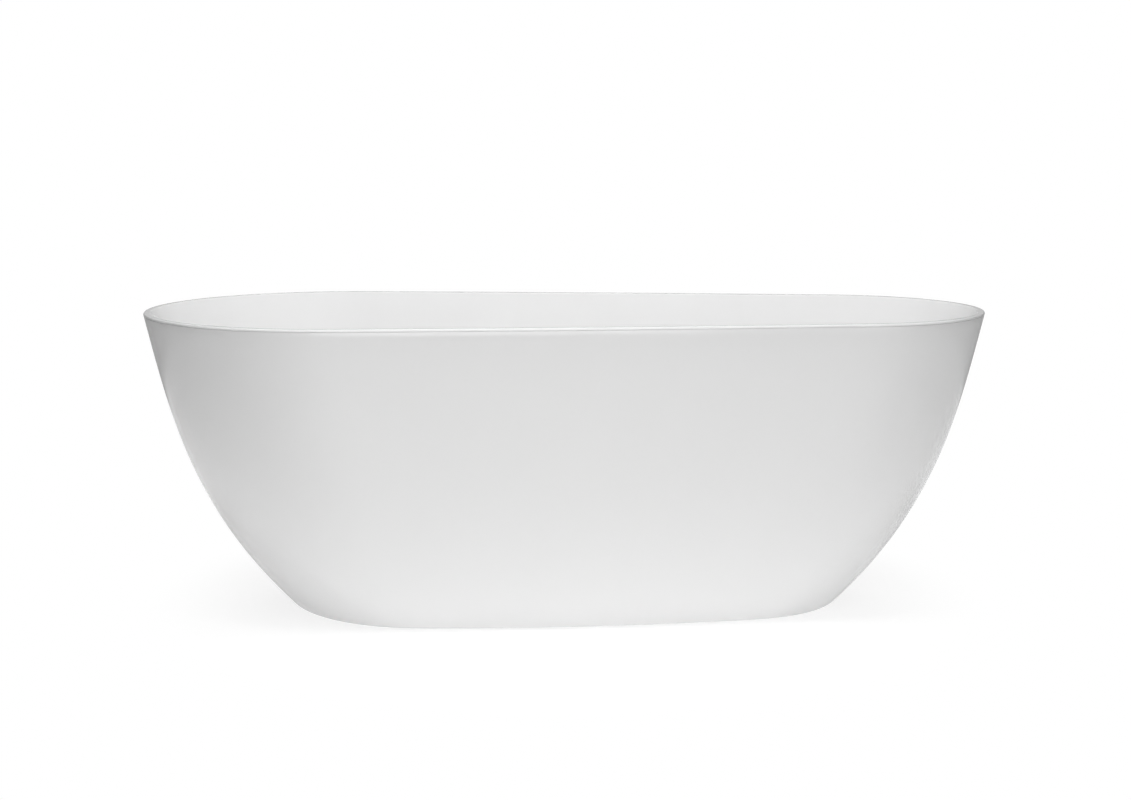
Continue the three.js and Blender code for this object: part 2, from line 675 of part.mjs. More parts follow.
function makeSkirt() {
  const drillTop = FLOOR_GAP + 2 * SKIRT_WALL;
  const drill = () => rod(FLANGE_SCREW_RADIUS + HOLE_CLEARANCE, 0, drillTop, SMALL_SEGMENTS);
  const holes = FOOT_STATIONS.flatMap(([, x]) => SIDES.map(([, sign]) =>
    drill().translate(x, sign * (crossTubeReach(x) + GAP + BRACKET_SCREW_OFFSET), 0)));
  return cut(swept(skirtSection()), ...holes);
}

// ---- Levelling feet ----

function makePad() {
  const bore = STUD_RADIUS + HOLE_CLEARANCE;
  return turned([
    [0, 0],
    [PAD_RADIUS - CHAMFER, 0],
    [PAD_RADIUS, CHAMFER],
    [PAD_RADIUS, PAD_EDGE],
    [PAD_BOSS_RADIUS, PAD_HEIGHT / 2],
    [PAD_BOSS_RADIUS, PAD_HEIGHT],
    [bore, PAD_HEIGHT],
    [bore, PAD_SOCKET_FLOOR],
    [0, PAD_SOCKET_FLOOR],
  ]);
}

function makeStud() {
  const bottom = PAD_SOCKET_FLOOR + GAP;
  const top = CROSS_TOP + STUD_ABOVE_TUBE;
  const shank = turned([
    [0, bottom],
    [STUD_RADIUS, bottom],
    [STUD_RADIUS, top - CHAMFER],
    [STUD_RADIUS - CHAMFER, top],
    [0, top],
  ], SMALL_SEGMENTS);
  const hex = extruded(hexagon(NUT_ACROSS_FLATS), STUD_HEX_HEIGHT).translate(0, 0, PAD_HEIGHT + GAP);
  return join(shank, hex);
}

function addFeet(parent) {
  const nut = () => hexNut(NUT_ACROSS_FLATS, STUD_RADIUS + HOLE_CLEARANCE, NUT_HEIGHT);
  const weldNutZ = CROSS_BOTTOM - GAP - NUT_HEIGHT;
  const lockNutZ = weldNutZ - GAP - NUT_HEIGHT;
  FOOT_STATIONS.forEach(([end, x]) => SIDES.forEach(([side, sign]) => {
    const y = sign * (crossTubeReach(x) - STUD_EDGE_DISTANCE);
    const place = `${end}_${side}`;
    addMesh(parent, `foot_pad_${place}`, makePad(), rubber(), x, y, 0);
    addMesh(parent, `foot_stud_${place}`, makeStud(), zinc(), x, y, 0);
    addMesh(parent, `weld_nut_${place}`, nut(), galvanised(), x, y, weldNutZ);
    addMesh(parent, `lock_nut_${place}`, nut(), zinc(), x, y, lockNutZ);
  }));
}

// ---- Waste flange and stopper ----

// The flange's plate, conical seat and threaded tube. A spider across the tube holds the cartridge.
function makeDrainFlange() {
  const bottom = FLANGE_TOP - WASTE_TUBE_LENGTH;
  const shell = turned([
    [FLANGE_RADIUS, FLANGE_UNDERSIDE],
    [FLANGE_RADIUS, FLANGE_TOP - CHAMFER],
    [FLANGE_RADIUS - CHAMFER, FLANGE_TOP],
    [SEAT_RADIUS, FLANGE_TOP],
    [THROAT_RADIUS, FLANGE_TOP - SEAT_DEPTH],
    [THROAT_RADIUS, bottom],
    [WASTE_TUBE_RADIUS, bottom],
    [WASTE_TUBE_RADIUS, FLANGE_TOP - SEAT_DEPTH - WASTE_TUBE_WALL],
    [WASTE_TUBE_RADIUS, FLANGE_UNDERSIDE],
  ]);
  const spiderBottom = SPIDER_TOP - SPIDER_HEIGHT;
  const boss = rod(SPIDER_BOSS_RADIUS, spiderBottom, SPIDER_TOP);
  const spokeLength = THROAT_RADIUS + WASTE_TUBE_WALL / 2;
  const spoke = () => extruded(rectangle(spokeLength, SPOKE_WIDTH), SPIDER_HEIGHT)
    .translate(spokeLength / 2, 0, spiderBottom);
  const spokes = Array.from({ length: SPOKE_COUNT }, (_, k) => spoke().rotateZ((k * TURN) / SPOKE_COUNT));
  const bore = CARTRIDGE_RADIUS + HOLE_CLEARANCE;
  return cut(join(shell, boss, ...spokes), rod(bore, spiderBottom - OVERRUN, SPIDER_TOP + OVERRUN));
}

function makeCartridge() {
  const neck = STEM_RADIUS + HOLE_CLEARANCE;
  const shoulder = CARTRIDGE_TOP - CARTRIDGE_CAP;
  return turned([
    [0, CARTRIDGE_BOTTOM],
    [CARTRIDGE_RADIUS, CARTRIDGE_BOTTOM],
    [CARTRIDGE_RADIUS, shoulder],
    [CARTRIDGE_FLANGE_RADIUS, shoulder],
    [CARTRIDGE_FLANGE_RADIUS, CARTRIDGE_TOP],
    [neck, CARTRIDGE_TOP],
    [neck, shoulder],
    [CARTRIDGE_BORE, shoulder],
    [CARTRIDGE_BORE, CARTRIDGE_BOTTOM + CARTRIDGE_FLOOR],
    [0, CARTRIDGE_BOTTOM + CARTRIDGE_FLOOR],
  ]);
}

function makeSpring() {
  const radius = (CARTRIDGE_BORE + STEM_RADIUS) / 2;
  const steps = SPRING_TURNS * SPRING_STEPS_PER_TURN;
  const rise = SPRING_LENGTH - SPRING_WIRE;
  const points = Array.from({ length: steps + 1 }, (_, k) => {
    const angle = (k * TURN) / SPRING_STEPS_PER_TURN;
    const z = SPRING_BOTTOM + SPRING_WIRE / 2 + (rise * k) / steps;
    return new THREE.Vector3(radius * Math.cos(angle), radius * Math.sin(angle), z);
  });
  const extrudePath = new THREE.CatmullRomCurve3(points);
  const curveSegments = SPRING_HALF_SIDES;
  return closed(new THREE.ExtrudeGeometry(circle(SPRING_WIRE / 2), { steps, extrudePath, curveSegments }));
}

function makeStem() {
  const bottom = COLLAR_BOTTOM - STEM_TAIL;
  const top = CAP_UNDERSIDE - CAP_SOCKET_ROOF;
  return turned([
    [0, bottom],
    [STEM_RADIUS, bottom],
    [STEM_RADIUS, COLLAR_BOTTOM],
    [STEM_COLLAR_RADIUS, COLLAR_BOTTOM],
    [STEM_COLLAR_RADIUS, COLLAR_BOTTOM + STEM_COLLAR_HEIGHT],
    [STEM_RADIUS, COLLAR_BOTTOM + STEM_COLLAR_HEIGHT],
    [STEM_RADIUS, top],
    [0, top],
  ], SMALL_SEGMENTS);
}

function makeStopperCap() {
  const radius = FLANGE_RADIUS - CAP_INSET;
  const socket = STEM_RADIUS + HOLE_CLEARANCE;
  const socketTop = CAP_UNDERSIDE - CAP_SOCKET_ROOF + GAP;
  const edgeTop = CAP_UNDERSIDE + CAP_EDGE;
  const dome = new THREE.QuadraticBezierCurve(
    new THREE.Vector2(radius, edgeTop),
    new THREE.Vector2(radius - CAP_DOME, edgeTop + CAP_DOME),
    new THREE.Vector2(0, edgeTop + CAP_DOME),
  ).getPoints(ROUND_STEPS + 1).map((p) => [p.x, p.y]);
  return turned([
    [0, socketTop],
    [socket, socketTop],
    [socket, CAP_UNDERSIDE - CAP_BOSS_LENGTH],
    [CAP_BOSS_RADIUS, CAP_UNDERSIDE - CAP_BOSS_LENGTH],
    [CAP_BOSS_RADIUS, CAP_UNDERSIDE],
    [radius, CAP_UNDERSIDE],
    ...dome,
  ]);
}

// A rubber ring under the cap whose lower face follows the flange's conical seat.
function makeStopperSeal() {
  const top = CAP_UNDERSIDE - GAP;
  const coneSlope = SEAT_DEPTH / (SEAT_RADIUS - THROAT_RADIUS);
  const lipAt = (radius) => FLANGE_TOP - SEAT_DEPTH + coneSlope * (radius - THROAT_RADIUS) + 2 * GAP;
  const inner = THROAT_RADIUS - SEAL_LAP;
  const outer = WASTE_TUBE_RADIUS + SEAL_LAP;
  return turned([
    [inner, top],
    [inner, lipAt(WASTE_TUBE_RADIUS)],
    [WASTE_TUBE_RADIUS, lipAt(WASTE_TUBE_RADIUS)],
    [outer, lipAt(outer)],
    [outer, top],
  ]);
}

function addWaste(parent) {
  const upperBottom = SEAT_FLOOR + GAP;
  const upperGasket = ring(
    BODY_SOCKET, FLANGE_RADIUS - GASKET_INSET, upperBottom, upperBottom + GASKET_THICKNESS);
  const lowerTop = FLOOR_UNDERSIDE - GAP;
  const lowerGasket = ring(
    BODY_SOCKET, BODY_FLANGE_RADIUS - GASKET_INSET, lowerTop - LOWER_GASKET, lowerTop);
  addMesh(parent, "drain_flange", makeDrainFlange(), chrome());
  addMesh(parent, "drain_gasket_upper", upperGasket, rubber());
  addMesh(parent, "drain_gasket_lower", lowerGasket, rubber());
  addMesh(parent, "stopper_cartridge", makeCartridge(), zinc());
  addMesh(parent, "stopper_spring", makeSpring(), springSteel());
  addMesh(parent, "stopper_stem", makeStem(), zinc());
  addMesh(parent, "stopper_cap", makeStopperCap(), chrome());
  addMesh(parent, "stopper_seal", makeStopperSeal(), rubber());
}

// ---- Waste body and trap ----

// The cup that the flange screws into: a side port takes the overflow hose, the outlet dips into the trap.
function makeWasteBody() {
  const bore = BODY_RADIUS - PIPE_WALL;
  const outletBore = OUTLET_RADIUS - PIPE_WALL;
  const socketEnd = FLANGE_TOP - WASTE_TUBE_LENGTH;
  const outside = turned([
    [0, DIP_END],
    [OUTLET_RADIUS, DIP_END],
    [OUTLET_RADIUS, BODY_FLOOR],
    [BODY_RADIUS, BODY_FLOOR],
    [BODY_RADIUS, BODY_TOP - BODY_FLANGE_HEIGHT],
    [BODY_FLANGE_RADIUS, BODY_TOP - BODY_FLANGE_HEIGHT],
    [BODY_FLANGE_RADIUS, BODY_TOP],
    [0, BODY_TOP],
  ]);
  const inside = turned([
    [0, DIP_END - OVERRUN],
    [outletBore, DIP_END - OVERRUN],
    [outletBore, BODY_FLOOR + PIPE_WALL],
    [bore, BODY_FLOOR + PIPE_WALL],
    [bore, socketEnd - BODY_BORE_STEP],
    [BODY_SOCKET, socketEnd],
    [BODY_SOCKET, BODY_TOP + OVERRUN],
    [0, BODY_TOP + OVERRUN],
  ]);
  const sideways = (radius, to) =>
    rod(radius, 0, to).rotateX(Math.PI / 2).translate(0, 0, PORT_HEIGHT);
  const port = sideways(HOSE_RADIUS, PORT_REACH);
  return cut(join(outside, port), inside, sideways(HOSE_RADIUS - HOSE_WALL, PORT_REACH + OVERRUN));
}

function makeTrapBowl() {
  const top = TRAP_LID_HEIGHT - GAP;
  const floor = TRAP_BOTTOM + TRAP_WALL;
  const outside = turned([
    [0, TRAP_BOTTOM],
    [TRAP_RADIUS - TRAP_WALL, TRAP_BOTTOM],
    [TRAP_RADIUS, floor],
    [TRAP_RADIUS, top],
    [0, top],
  ]);
  const inside = rod(TRAP_RADIUS - TRAP_WALL, floor, top + OVERRUN);
  const along = (radius, to) => rod(radius, 0, to).rotateY(Math.PI / 2).translate(0, 0, TRAP_OUTLET_HEIGHT);
  const outlet = along(OUTLET_RADIUS, TRAP_OUTLET_REACH);
  const outletBore = along(OUTLET_RADIUS - PIPE_WALL, TRAP_OUTLET_REACH + OVERRUN);
  return cut(join(outside, outlet), inside, outletBore);
}

function addTrap(parent) {
  const bore = OUTLET_RADIUS + HOLE_CLEARANCE;
  const lidTop = TRAP_LID_HEIGHT + TRAP_LID_THICKNESS;
  const nutBottom = lidTop + GAP;
  const nut = ring(bore, bore + TRAP_NUT_WALL, nutBottom, nutBottom + TRAP_NUT_HEIGHT);
  addMesh(parent, "waste_body", makeWasteBody(), whitePlastic());
  addMesh(parent, "trap_bowl", makeTrapBowl(), whitePlastic());
  addMesh(parent, "trap_lid", ring(bore, TRAP_RADIUS, TRAP_LID_HEIGHT, lidTop), whitePlastic());
  addMesh(parent, "trap_nut", nut, greyPlastic());
}

// ---- Overflow ----

// A frame on the basin's near wall: Z points into the tub, Y points up the wall.
function overflowFrame() {
  const z = HEIGHT - OVERFLOW_BELOW_RIM;
  const pointAt = (x, height) => new THREE.Vector3(x, -halfWidth(height, cavity(height), x), height);
  const up = pointAt(0, z + 1).sub(pointAt(0, z - 1)).normalize();
  const along = pointAt(1, z).sub(pointAt(-1, z)).normalize();
  const inward = up.clone().cross(along).normalize();
  const across = up.clone().cross(inward);
  return new THREE.Matrix4().makeBasis(across, up, inward).setPosition(pointAt(0, z));
}

const OVERFLOW_PLACE = overflowFrame();

// How far the wall has bowed out behind the overflow's plane at a distance down the wall.
function wallBow(down) {
  const height = new THREE.Vector3(0, -down, 0).applyMatrix4(OVERFLOW_PLACE).z;
  const onWall = new THREE.Vector3(0, -halfWidth(height, cavity(height), 0), height);
  return Math.max(0, -onWall.applyMatrix4(OVERFLOW_PLACE.clone().invert()).z);
}

const TAIL_DEPTH = BASIN_WALL + WALL_RELIEF + wallBow(HOSE_TAIL + HOSE_NUT_LENGTH / 2) + HOSE_NUT_RADIUS;
const CUP_DEPTH = TAIL_DEPTH + HOSE_RADIUS;

function makeOverflowBody() {
  const flangeTop = -BASIN_WALL - WALL_RELIEF - OVERFLOW_GASKET - GAP;
  const pillarTop = -COVER_STANDOFF - GAP;
  const floor = CUP_WALL - CUP_DEPTH;
  const outside = turned([
    [0, -CUP_DEPTH],
    [CUP_RADIUS, -CUP_DEPTH],
    [CUP_RADIUS, flangeTop - CUP_FLANGE_THICKNESS],
    [CUP_FLANGE_RADIUS, flangeTop - CUP_FLANGE_THICKNESS],
    [CUP_FLANGE_RADIUS, flangeTop],
    [COVER_BOSS_RADIUS, flangeTop],
    [COVER_BOSS_RADIUS, pillarTop],
    [0, pillarTop],
  ]);
  const inside = ring(COVER_BOSS_RADIUS, CUP_BORE, floor, flangeTop + OVERRUN);
  const screwBore = rod(OVERFLOW_SCREW_RADIUS + HOLE_CLEARANCE, floor, pillarTop + OVERRUN);
  const down = (radius, to) =>
    rod(radius, CUP_BORE / 2, to).rotateX(Math.PI / 2).translate(0, 0, -TAIL_DEPTH);
  const tail = down(HOSE_RADIUS, HOSE_TAIL);
  const tailBore = down(HOSE_RADIUS - HOSE_WALL, HOSE_TAIL + OVERRUN);
  return cut(join(outside, tail), inside, screwBore, tailBore);
}

function makeOverflowCover() {
  const radius = OVERFLOW_HOLE + COVER_LAP;
  const front = COVER_STANDOFF + COVER_THICKNESS;
  const bore = OVERFLOW_SCREW_RADIUS + HOLE_CLEARANCE;
  const round = new THREE.EllipseCurve(
    radius - COVER_ROUND, front - COVER_ROUND, COVER_ROUND, COVER_ROUND, 0, Math.PI / 2);
  return turned([
    [bore, -COVER_STANDOFF],
    [COVER_BOSS_RADIUS, -COVER_STANDOFF],
    [COVER_BOSS_RADIUS, COVER_STANDOFF],
    [radius, COVER_STANDOFF],
    ...round.getPoints(ROUND_STEPS).map((p) => [p.x, p.y]),
    [bore, front],
  ], 2 * SMALL_SEGMENTS);
}

function addOverflow(parent) {
  const group = new THREE.Group();
  OVERFLOW_PLACE.decompose(group.position, group.quaternion, group.scale);
  parent.add(group);
  const gasketTop = -BASIN_WALL - WALL_RELIEF;
  const gasket = ring(CUP_BORE, CUP_FLANGE_RADIUS, gasketTop - OVERFLOW_GASKET, gasketTop);
  const screwSeat = COVER_STANDOFF + COVER_THICKNESS + GAP;
  const screwLength = screwSeat + CUP_DEPTH - 2 * CUP_WALL;
  const screw = screwUp(OVERFLOW_SCREW_RADIUS, screwLength).rotateX(Math.PI);
  addMesh(group, "overflow_cover", makeOverflowCover(), chrome());
  addMesh(group, "overflow_screw", screw, chrome(), 0, 0, screwSeat);
  addMesh(group, "overflow_gasket", gasket, rubber());
  addMesh(group, "overflow_body", makeOverflowBody(), whitePlastic());
  const nut = ring(HOSE_RADIUS + HOLE_CLEARANCE, HOSE_NUT_RADIUS, 0, HOSE_NUT_LENGTH);
  addMesh(group, "hose_nut_upper", nut.rotateX(Math.PI / 2), greyPlastic(),
    0, HOSE_NUT_LENGTH / 2 - HOSE_TAIL, -TAIL_DEPTH);
}

// The middle of the space between the skins on the near side, halfway along the tub.
function cavityMiddle(z) {
  const basinBack = halfWidth(z, cavity(z) - BASIN_WALL, 0);
  const skirtBack = halfWidth(z, SKIRT_WALL, 0);
  return new THREE.Vector3(0, -(basinBack + skirtBack) / 2, z);
}

// From the overflow's tail down between the skins, then under the frame to the waste body. The hose is
// straight inside each nut.
function hosePath() {
  const downWall = (distance) =>
    new THREE.Vector3(0, -HOSE_TAIL - distance, -TAIL_DEPTH).applyMatrix4(OVERFLOW_PLACE);
  const beforePort = (distance) => new THREE.Vector3(0, -PORT_REACH - distance, PORT_HEIGHT);
  const bendY = cavityMiddle(BASIN_FLOOR).y + 4 * HOSE_RADIUS;
  const bend = new THREE.Vector3(0, bendY, PORT_HEIGHT + HOSE_RADIUS);
  const below = downWall(2 * HOSE_NUT_LENGTH);
  const middles = [2 / 3, 1 / 3, 0].map((share) => cavityMiddle(lerp(BASIN_FLOOR, below.z, share)));
  return new THREE.CatmullRomCurve3([
    downWall(GAP),
    downWall(HOSE_NUT_LENGTH),
    below,
    ...middles,
    bend,
    beforePort(2 * HOSE_NUT_LENGTH),
    beforePort(HOSE_NUT_LENGTH),
    beforePort(GAP),
  ]);
}

function addHose(parent) {
  const section = circle(HOSE_RADIUS);
  section.holes.push(circle(HOSE_RADIUS - HOSE_WALL));
  const hose = new THREE.ExtrudeGeometry(section, {
    steps: HOSE_STEPS,
    curveSegments: HOSE_HALF_SIDES,
    extrudePath: hosePath(),
  });
  addMesh(parent, "overflow_hose", closed(hose), greyPlastic());
  const nut = ring(HOSE_RADIUS + HOLE_CLEARANCE, HOSE_NUT_RADIUS, 0, HOSE_NUT_LENGTH);
  addMesh(parent, "hose_nut_lower", nut.rotateX(Math.PI / 2), greyPlastic(),
    0, HOSE_NUT_LENGTH / 2 - PORT_REACH, PORT_HEIGHT);
}

// ---- Assembly ----

function makeTub() {
  const tub = new THREE.Group();
  addMesh(tub, "basin", makeBasin(), acrylic());
  addMesh(tub, "skirt", makeSkirt(), acrylic());
  addMesh(tub, "rim_bond", swept(rimBondSection()), adhesive());
  addMesh(tub, "base_board", makeBoard(), chipboard(), 0, 0, BOARD_TOP - BOARD_THICKNESS);
  addRails(tub);
  addCrossTubes(tub);
  addBoardScrews(tub);
  addBrackets(tub);
  addFeet(tub);
  addWaste(tub);
  addTrap(tub);
  addOverflow(tub);
  addHose(tub);
  return tub;
}

export default makeTub();
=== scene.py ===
"""Looks of the freestanding double-skinned bathtub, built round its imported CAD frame.

Metres, +Z up. The head end is the wide one, at -X. "near" is -Y and "far" is +Y.
"""

import json
import math

import bmesh
import bpy
import numpy as np
from mathutils import Matrix, Vector


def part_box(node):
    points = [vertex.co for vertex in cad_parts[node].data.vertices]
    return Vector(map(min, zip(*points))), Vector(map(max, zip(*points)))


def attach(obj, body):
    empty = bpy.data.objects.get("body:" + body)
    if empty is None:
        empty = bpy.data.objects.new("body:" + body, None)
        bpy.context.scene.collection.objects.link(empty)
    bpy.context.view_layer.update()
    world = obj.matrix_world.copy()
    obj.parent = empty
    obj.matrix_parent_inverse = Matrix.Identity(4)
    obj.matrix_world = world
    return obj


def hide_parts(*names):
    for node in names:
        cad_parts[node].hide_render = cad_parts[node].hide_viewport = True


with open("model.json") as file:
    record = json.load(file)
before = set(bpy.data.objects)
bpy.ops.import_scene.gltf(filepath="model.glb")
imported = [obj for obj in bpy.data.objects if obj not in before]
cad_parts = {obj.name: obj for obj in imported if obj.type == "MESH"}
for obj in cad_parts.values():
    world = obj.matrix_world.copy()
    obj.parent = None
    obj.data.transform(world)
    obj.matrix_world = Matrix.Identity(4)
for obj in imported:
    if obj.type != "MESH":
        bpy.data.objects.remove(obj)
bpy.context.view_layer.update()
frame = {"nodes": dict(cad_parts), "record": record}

TURN = 2 * math.pi

# ---- Sizes that the frame's boxes don't give ----

# Plan: head, foot and side arcs at the skirt's lower edge and at the rim.
LENGTH = 1.650
BASE_LENGTH = 1.085
HEAD_RADII = (0.275, 0.375)
FOOT_RADII = (0.217, 0.292)
SIDE_RADII = (2.6, 14.0)
ARC_EASE = 0.022

# Side view.
HEIGHT = 0.580
FLOOR_GAP = 0.003
FLARE_LOWER = 0.712
FLARE_UPPER = 0.839

# Rim and skirt.
RIM_WIDTH = 0.014
RIM_ROUND = 0.0035
LIP_THICKNESS = 0.005
LIP_EASE = 0.0007
HAIRLINE = 0.0003
SKIRT_WALL = 0.005
SKIRT_EDGE_ROUND = 0.018
SKIRT_FLANGE = 0.045
FLANGE_SCREW_HOLE = 0.0028

# Basin.
BASIN_WALL = 0.005
CAVITY_SHOULDER = 0.054
CAVITY_WAIST = 0.066
CAVITY_FLOOR = 0.084
BASIN_FLOOR = 0.165
FLOOR_THICKNESS = 0.010
FLOOR_FALL = 0.006
FILLET_RISE = 0.070
FILLET_RUN = 0.070
DRAIN_RECESS = 0.004
RECESS_CLEARANCE = 0.001
RECESS_EASE = 0.0006
DRAIN_TUBE_RADIUS = 0.022
OVERFLOW_HOLE = 0.024
OVERFLOW_BELOW_RIM = 0.125

# Fineness.
COLUMNS = 256
WALL_RINGS = 44
FLOOR_RINGS = 14
ROUND_RINGS = 6
BACK_RINGS = 16
ROUND_COLUMNS = 64
WIDE_COLUMNS = 96
SHARP_ANGLE = math.radians(38)
BEVEL_ANGLE = math.radians(40)
# How far a cutter runs past the face that it opens.
THROUGH = 0.001

LIP_BOTTOM = HEIGHT - LIP_THICKNESS
FLOOR_UNDERSIDE = BASIN_FLOOR - FLOOR_THICKNESS
SEAT_FLOOR = BASIN_FLOOR - DRAIN_RECESS


# ---- The egg-shaped plan and the side profile ----

def lerp(a, b, t):
    return a + (b - a) * t


def quadratic(t, a, b, c):
    return a * (1 - t) ** 2 + 2 * b * t * (1 - t) + c * t ** 2


def cubic(t, a, b, c, d):
    return a * (1 - t) ** 3 + 3 * b * t * (1 - t) ** 2 + 3 * c * t * t * (1 - t) + d * t ** 3


def flare_at(z):
    """How far the outer wall has flared at a height, from 0 at the base to 1 at the rim."""
    return cubic((z - FLOOR_GAP) / (HEIGHT - FLOOR_GAP), 0, FLARE_LOWER, FLARE_UPPER, 1)


def outer_half(z):
    return lerp(BASE_LENGTH, LENGTH, flare_at(z)) / 2


def cavity(z):
    """Plan distance from the skirt's face to the basin's face."""
    share = (HEIGHT - z) / (HEIGHT - BASIN_FLOOR)
    return cubic(share, RIM_WIDTH, CAVITY_SHOULDER, CAVITY_WAIST, CAVITY_FLOOR)


def inner_half(z):
    return outer_half(z) - cavity(z)


def slope_of(half, z, step=0.0005):
    return (half(z + step) - half(z - step)) / (2 * step)


def plan_arcs(z, inset):
    """The plan's four arcs at a height, moved inward: centre x, centre y, radius, first and last angle."""
    flare = flare_at(z)
    half = outer_half(z) - inset
    head, foot, side = (lerp(*radii, flare) - inset for radii in (HEAD_RADII, FOOT_RADII, SIDE_RADII))
    head_x, foot_x = head - half, half - foot
    span = foot_x - head_x
    along = ((side - head) ** 2 - (side - foot) ** 2 + span ** 2) / (2 * span)
    side_x, side_y = head_x + along, -math.sqrt((side - head) ** 2 - along ** 2)
    head_angle = math.atan2(-side_y, head_x - side_x)
    foot_angle = math.atan2(-side_y, foot_x - side_x)
    return np.array([
        (foot_x, 0, foot, -foot_angle, foot_angle),
        (side_x, side_y, side, foot_angle, head_angle),
        (head_x, 0, head, head_angle, TURN - head_angle),
        (side_x, -side_y, side, TURN - head_angle, TURN - foot_angle),
    ])


def eased(points, step):
    """Eases the jump in curvature where two arcs meet and leaves the rest of the outline where it is."""
    line = np.fft.fft(points[:, 0] + 1j * points[:, 1])
    soft = np.exp(-(np.fft.fftfreq(len(points), step) * TURN * ARC_EASE) ** 2 / 2)
    line = np.fft.ifft(line * soft * (2 - soft))
    return np.stack([line.real, line.imag], 1)


def plan_ring(z, inset, columns=COLUMNS):
    """The plan as evenly spaced points, anticlockwise from the foot tip."""
    arcs = plan_arcs(z, inset)
    ends = np.concatenate([[0], np.cumsum(arcs[:, 2] * (arcs[:, 4] - arcs[:, 3]))])
    step = ends[-1] / columns
    stations = (ends[1] / 2 + np.arange(columns) * step) % ends[-1]
    which = np.searchsorted(ends, stations, side="right") - 1
    x, y, radius, first, _ = arcs[which].T
    angle = first + (stations - ends[which]) / radius
    return eased(np.stack([x + radius * np.cos(angle), y + radius * np.sin(angle)], 1), step)


def section_ring(half, z):
    """The plan at a height, moved inward until it is 2 * half long, as points in space."""
    outline = plan_ring(z, outer_half(z) - half)
    return np.column_stack([outline, np.full(len(outline), z)])


def circle_ring(radius, z, columns=COLUMNS):
    angle = np.arange(columns) * TURN / columns
    return np.stack([radius * np.cos(angle), radius * np.sin(angle), np.full(columns, z)], 1)


def side_width(z, inset, x):
    """Half the plan's width at a place on the long side arc."""
    _, (side_x, side_y, radius, _, _), _, _ = plan_arcs(z, inset)
    return side_y + math.sqrt(radius ** 2 - (x - side_x) ** 2)


# ---- Meshes ----

def finished(mesh):
    """Outward faces, smooth except over sharp edges."""
    bm = bmesh.new()
    bm.from_mesh(mesh)
    bmesh.ops.recalc_face_normals(bm, faces=bm.faces)
    bm.to_mesh(mesh)
    bm.free()
    mesh.shade_smooth()
    mesh.set_sharp_from_angle(angle=SHARP_ANGLE)
    return mesh


def loft(rings, closed=False):
    """A skin over rings of equally many points. It closes on its first ring, or gets two end caps."""
    columns = len(rings[0])
    grid = np.arange(len(rings) * columns).reshape(len(rings), columns)
    if closed:
        grid = np.vstack([grid, grid[:1]])
    lower, upper = grid[:-1], grid[1:]
    quads = np.stack([lower, np.roll(lower, -1, 1), np.roll(upper, -1, 1), upper], -1).reshape(-1, 4)
    caps = [] if closed else [grid[0].tolist(), grid[-1, ::-1].tolist()]
    mesh = bpy.data.meshes.new("loft")
    mesh.from_pydata(np.concatenate(rings).tolist(), [], quads.tolist() + caps)
    return finished(mesh)


def rounded(outline, radius, closed=True, steps=3):
    """An outline whose corners are eased by short curves, each kept within its two edges."""
    points = np.array(outline, float)
    result = []
    for i, corner in enumerate(points):
        if not closed and i in (0, len(points) - 1):
            result.append(corner)
            continue
        back, on = points[i - 1] - corner, points[(i + 1) % len(points)] - corner
        reach = min(radius, 0.45 * np.linalg.norm(back), 0.45 * np.linalg.norm(on))
        start = corner + back / np.linalg.norm(back) * reach
        end = corner + on / np.linalg.norm(on) * reach
        for t in np.linspace(0, 1, steps + 1):
            result.append(quadratic(t, start, corner, end))
    return np.array(result)


def lathe(outline, ease=0.0004, hollow=True, columns=ROUND_COLUMNS):
    """A turned piece from [radius, height] points. A hollow one's outline is a loop clear of the axis."""
    profile = rounded(outline, ease, closed=hollow)
    return loft([circle_ring(radius, z, columns) for radius, z in profile], closed=hollow)


def boolean(mesh, operation, *tools):
    """The mesh after each tool is cut from it or joined to it."""
    scene = bpy.context.scene.collection
    work = bpy.data.objects.new("work", mesh)
    others = [bpy.data.objects.new("tool", tool) for tool in tools]
    for obj in (work, *others):
        scene.objects.link(obj)
    for other in others:
        modifier = work.modifiers.new("boolean", "BOOLEAN")
        modifier.operation = operation
        modifier.object = other
    shape = work.evaluated_get(bpy.context.evaluated_depsgraph_get())
    result = bpy.data.meshes.new_from_object(shape)
    for obj in (work, *others):
        bpy.data.objects.remove(obj)
    return finished(result)


def cut(mesh, *tools):
    return boolean(mesh, "DIFFERENCE", *tools)


def join(mesh, *others):
    return boolean(mesh, "UNION", *others)


def moved(mesh, matrix):
    mesh.transform(matrix)
    return mesh


def rod(radius, bottom, top, columns=ROUND_COLUMNS):
    return loft([circle_ring(radius, bottom, columns), circle_ring(radius, top, columns)])


# ---- Pieces and their places ----

FINISHES = {}


def named(start):
    """The CAD nodes of one kind."""
    return [name for name in frame["nodes"] if name.startswith(start)]


def middle(node):
    low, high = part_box(node)
    return (low + high) / 2


def half_across(node):
    low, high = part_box(node)
    return (high.x - low.x) / 2


def upright(node):
    """Moves a piece made on the Z axis onto a CAD node's own upright axis."""
    return Matrix.Translation((middle(node).x, middle(node).y, 0))


def piece(name, mesh, body, slot, *nodes):
    """A shown piece that rides on a CAD body, takes its finish from a slot and stands for CAD nodes."""
    obj = bpy.data.objects.new(name, mesh)
    bpy.context.scene.collection.objects.link(obj)
    mesh.name = name
    mesh.materials.clear()
    mesh.materials.append(FINISHES[slot])
    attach(obj, body)
    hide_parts(*nodes)
    return obj


# ---- Finishes ----

ACRYLIC_WHITE = (0.86, 0.86, 0.86)
FLOOR_WHITE = (0.9, 0.9, 0.9)


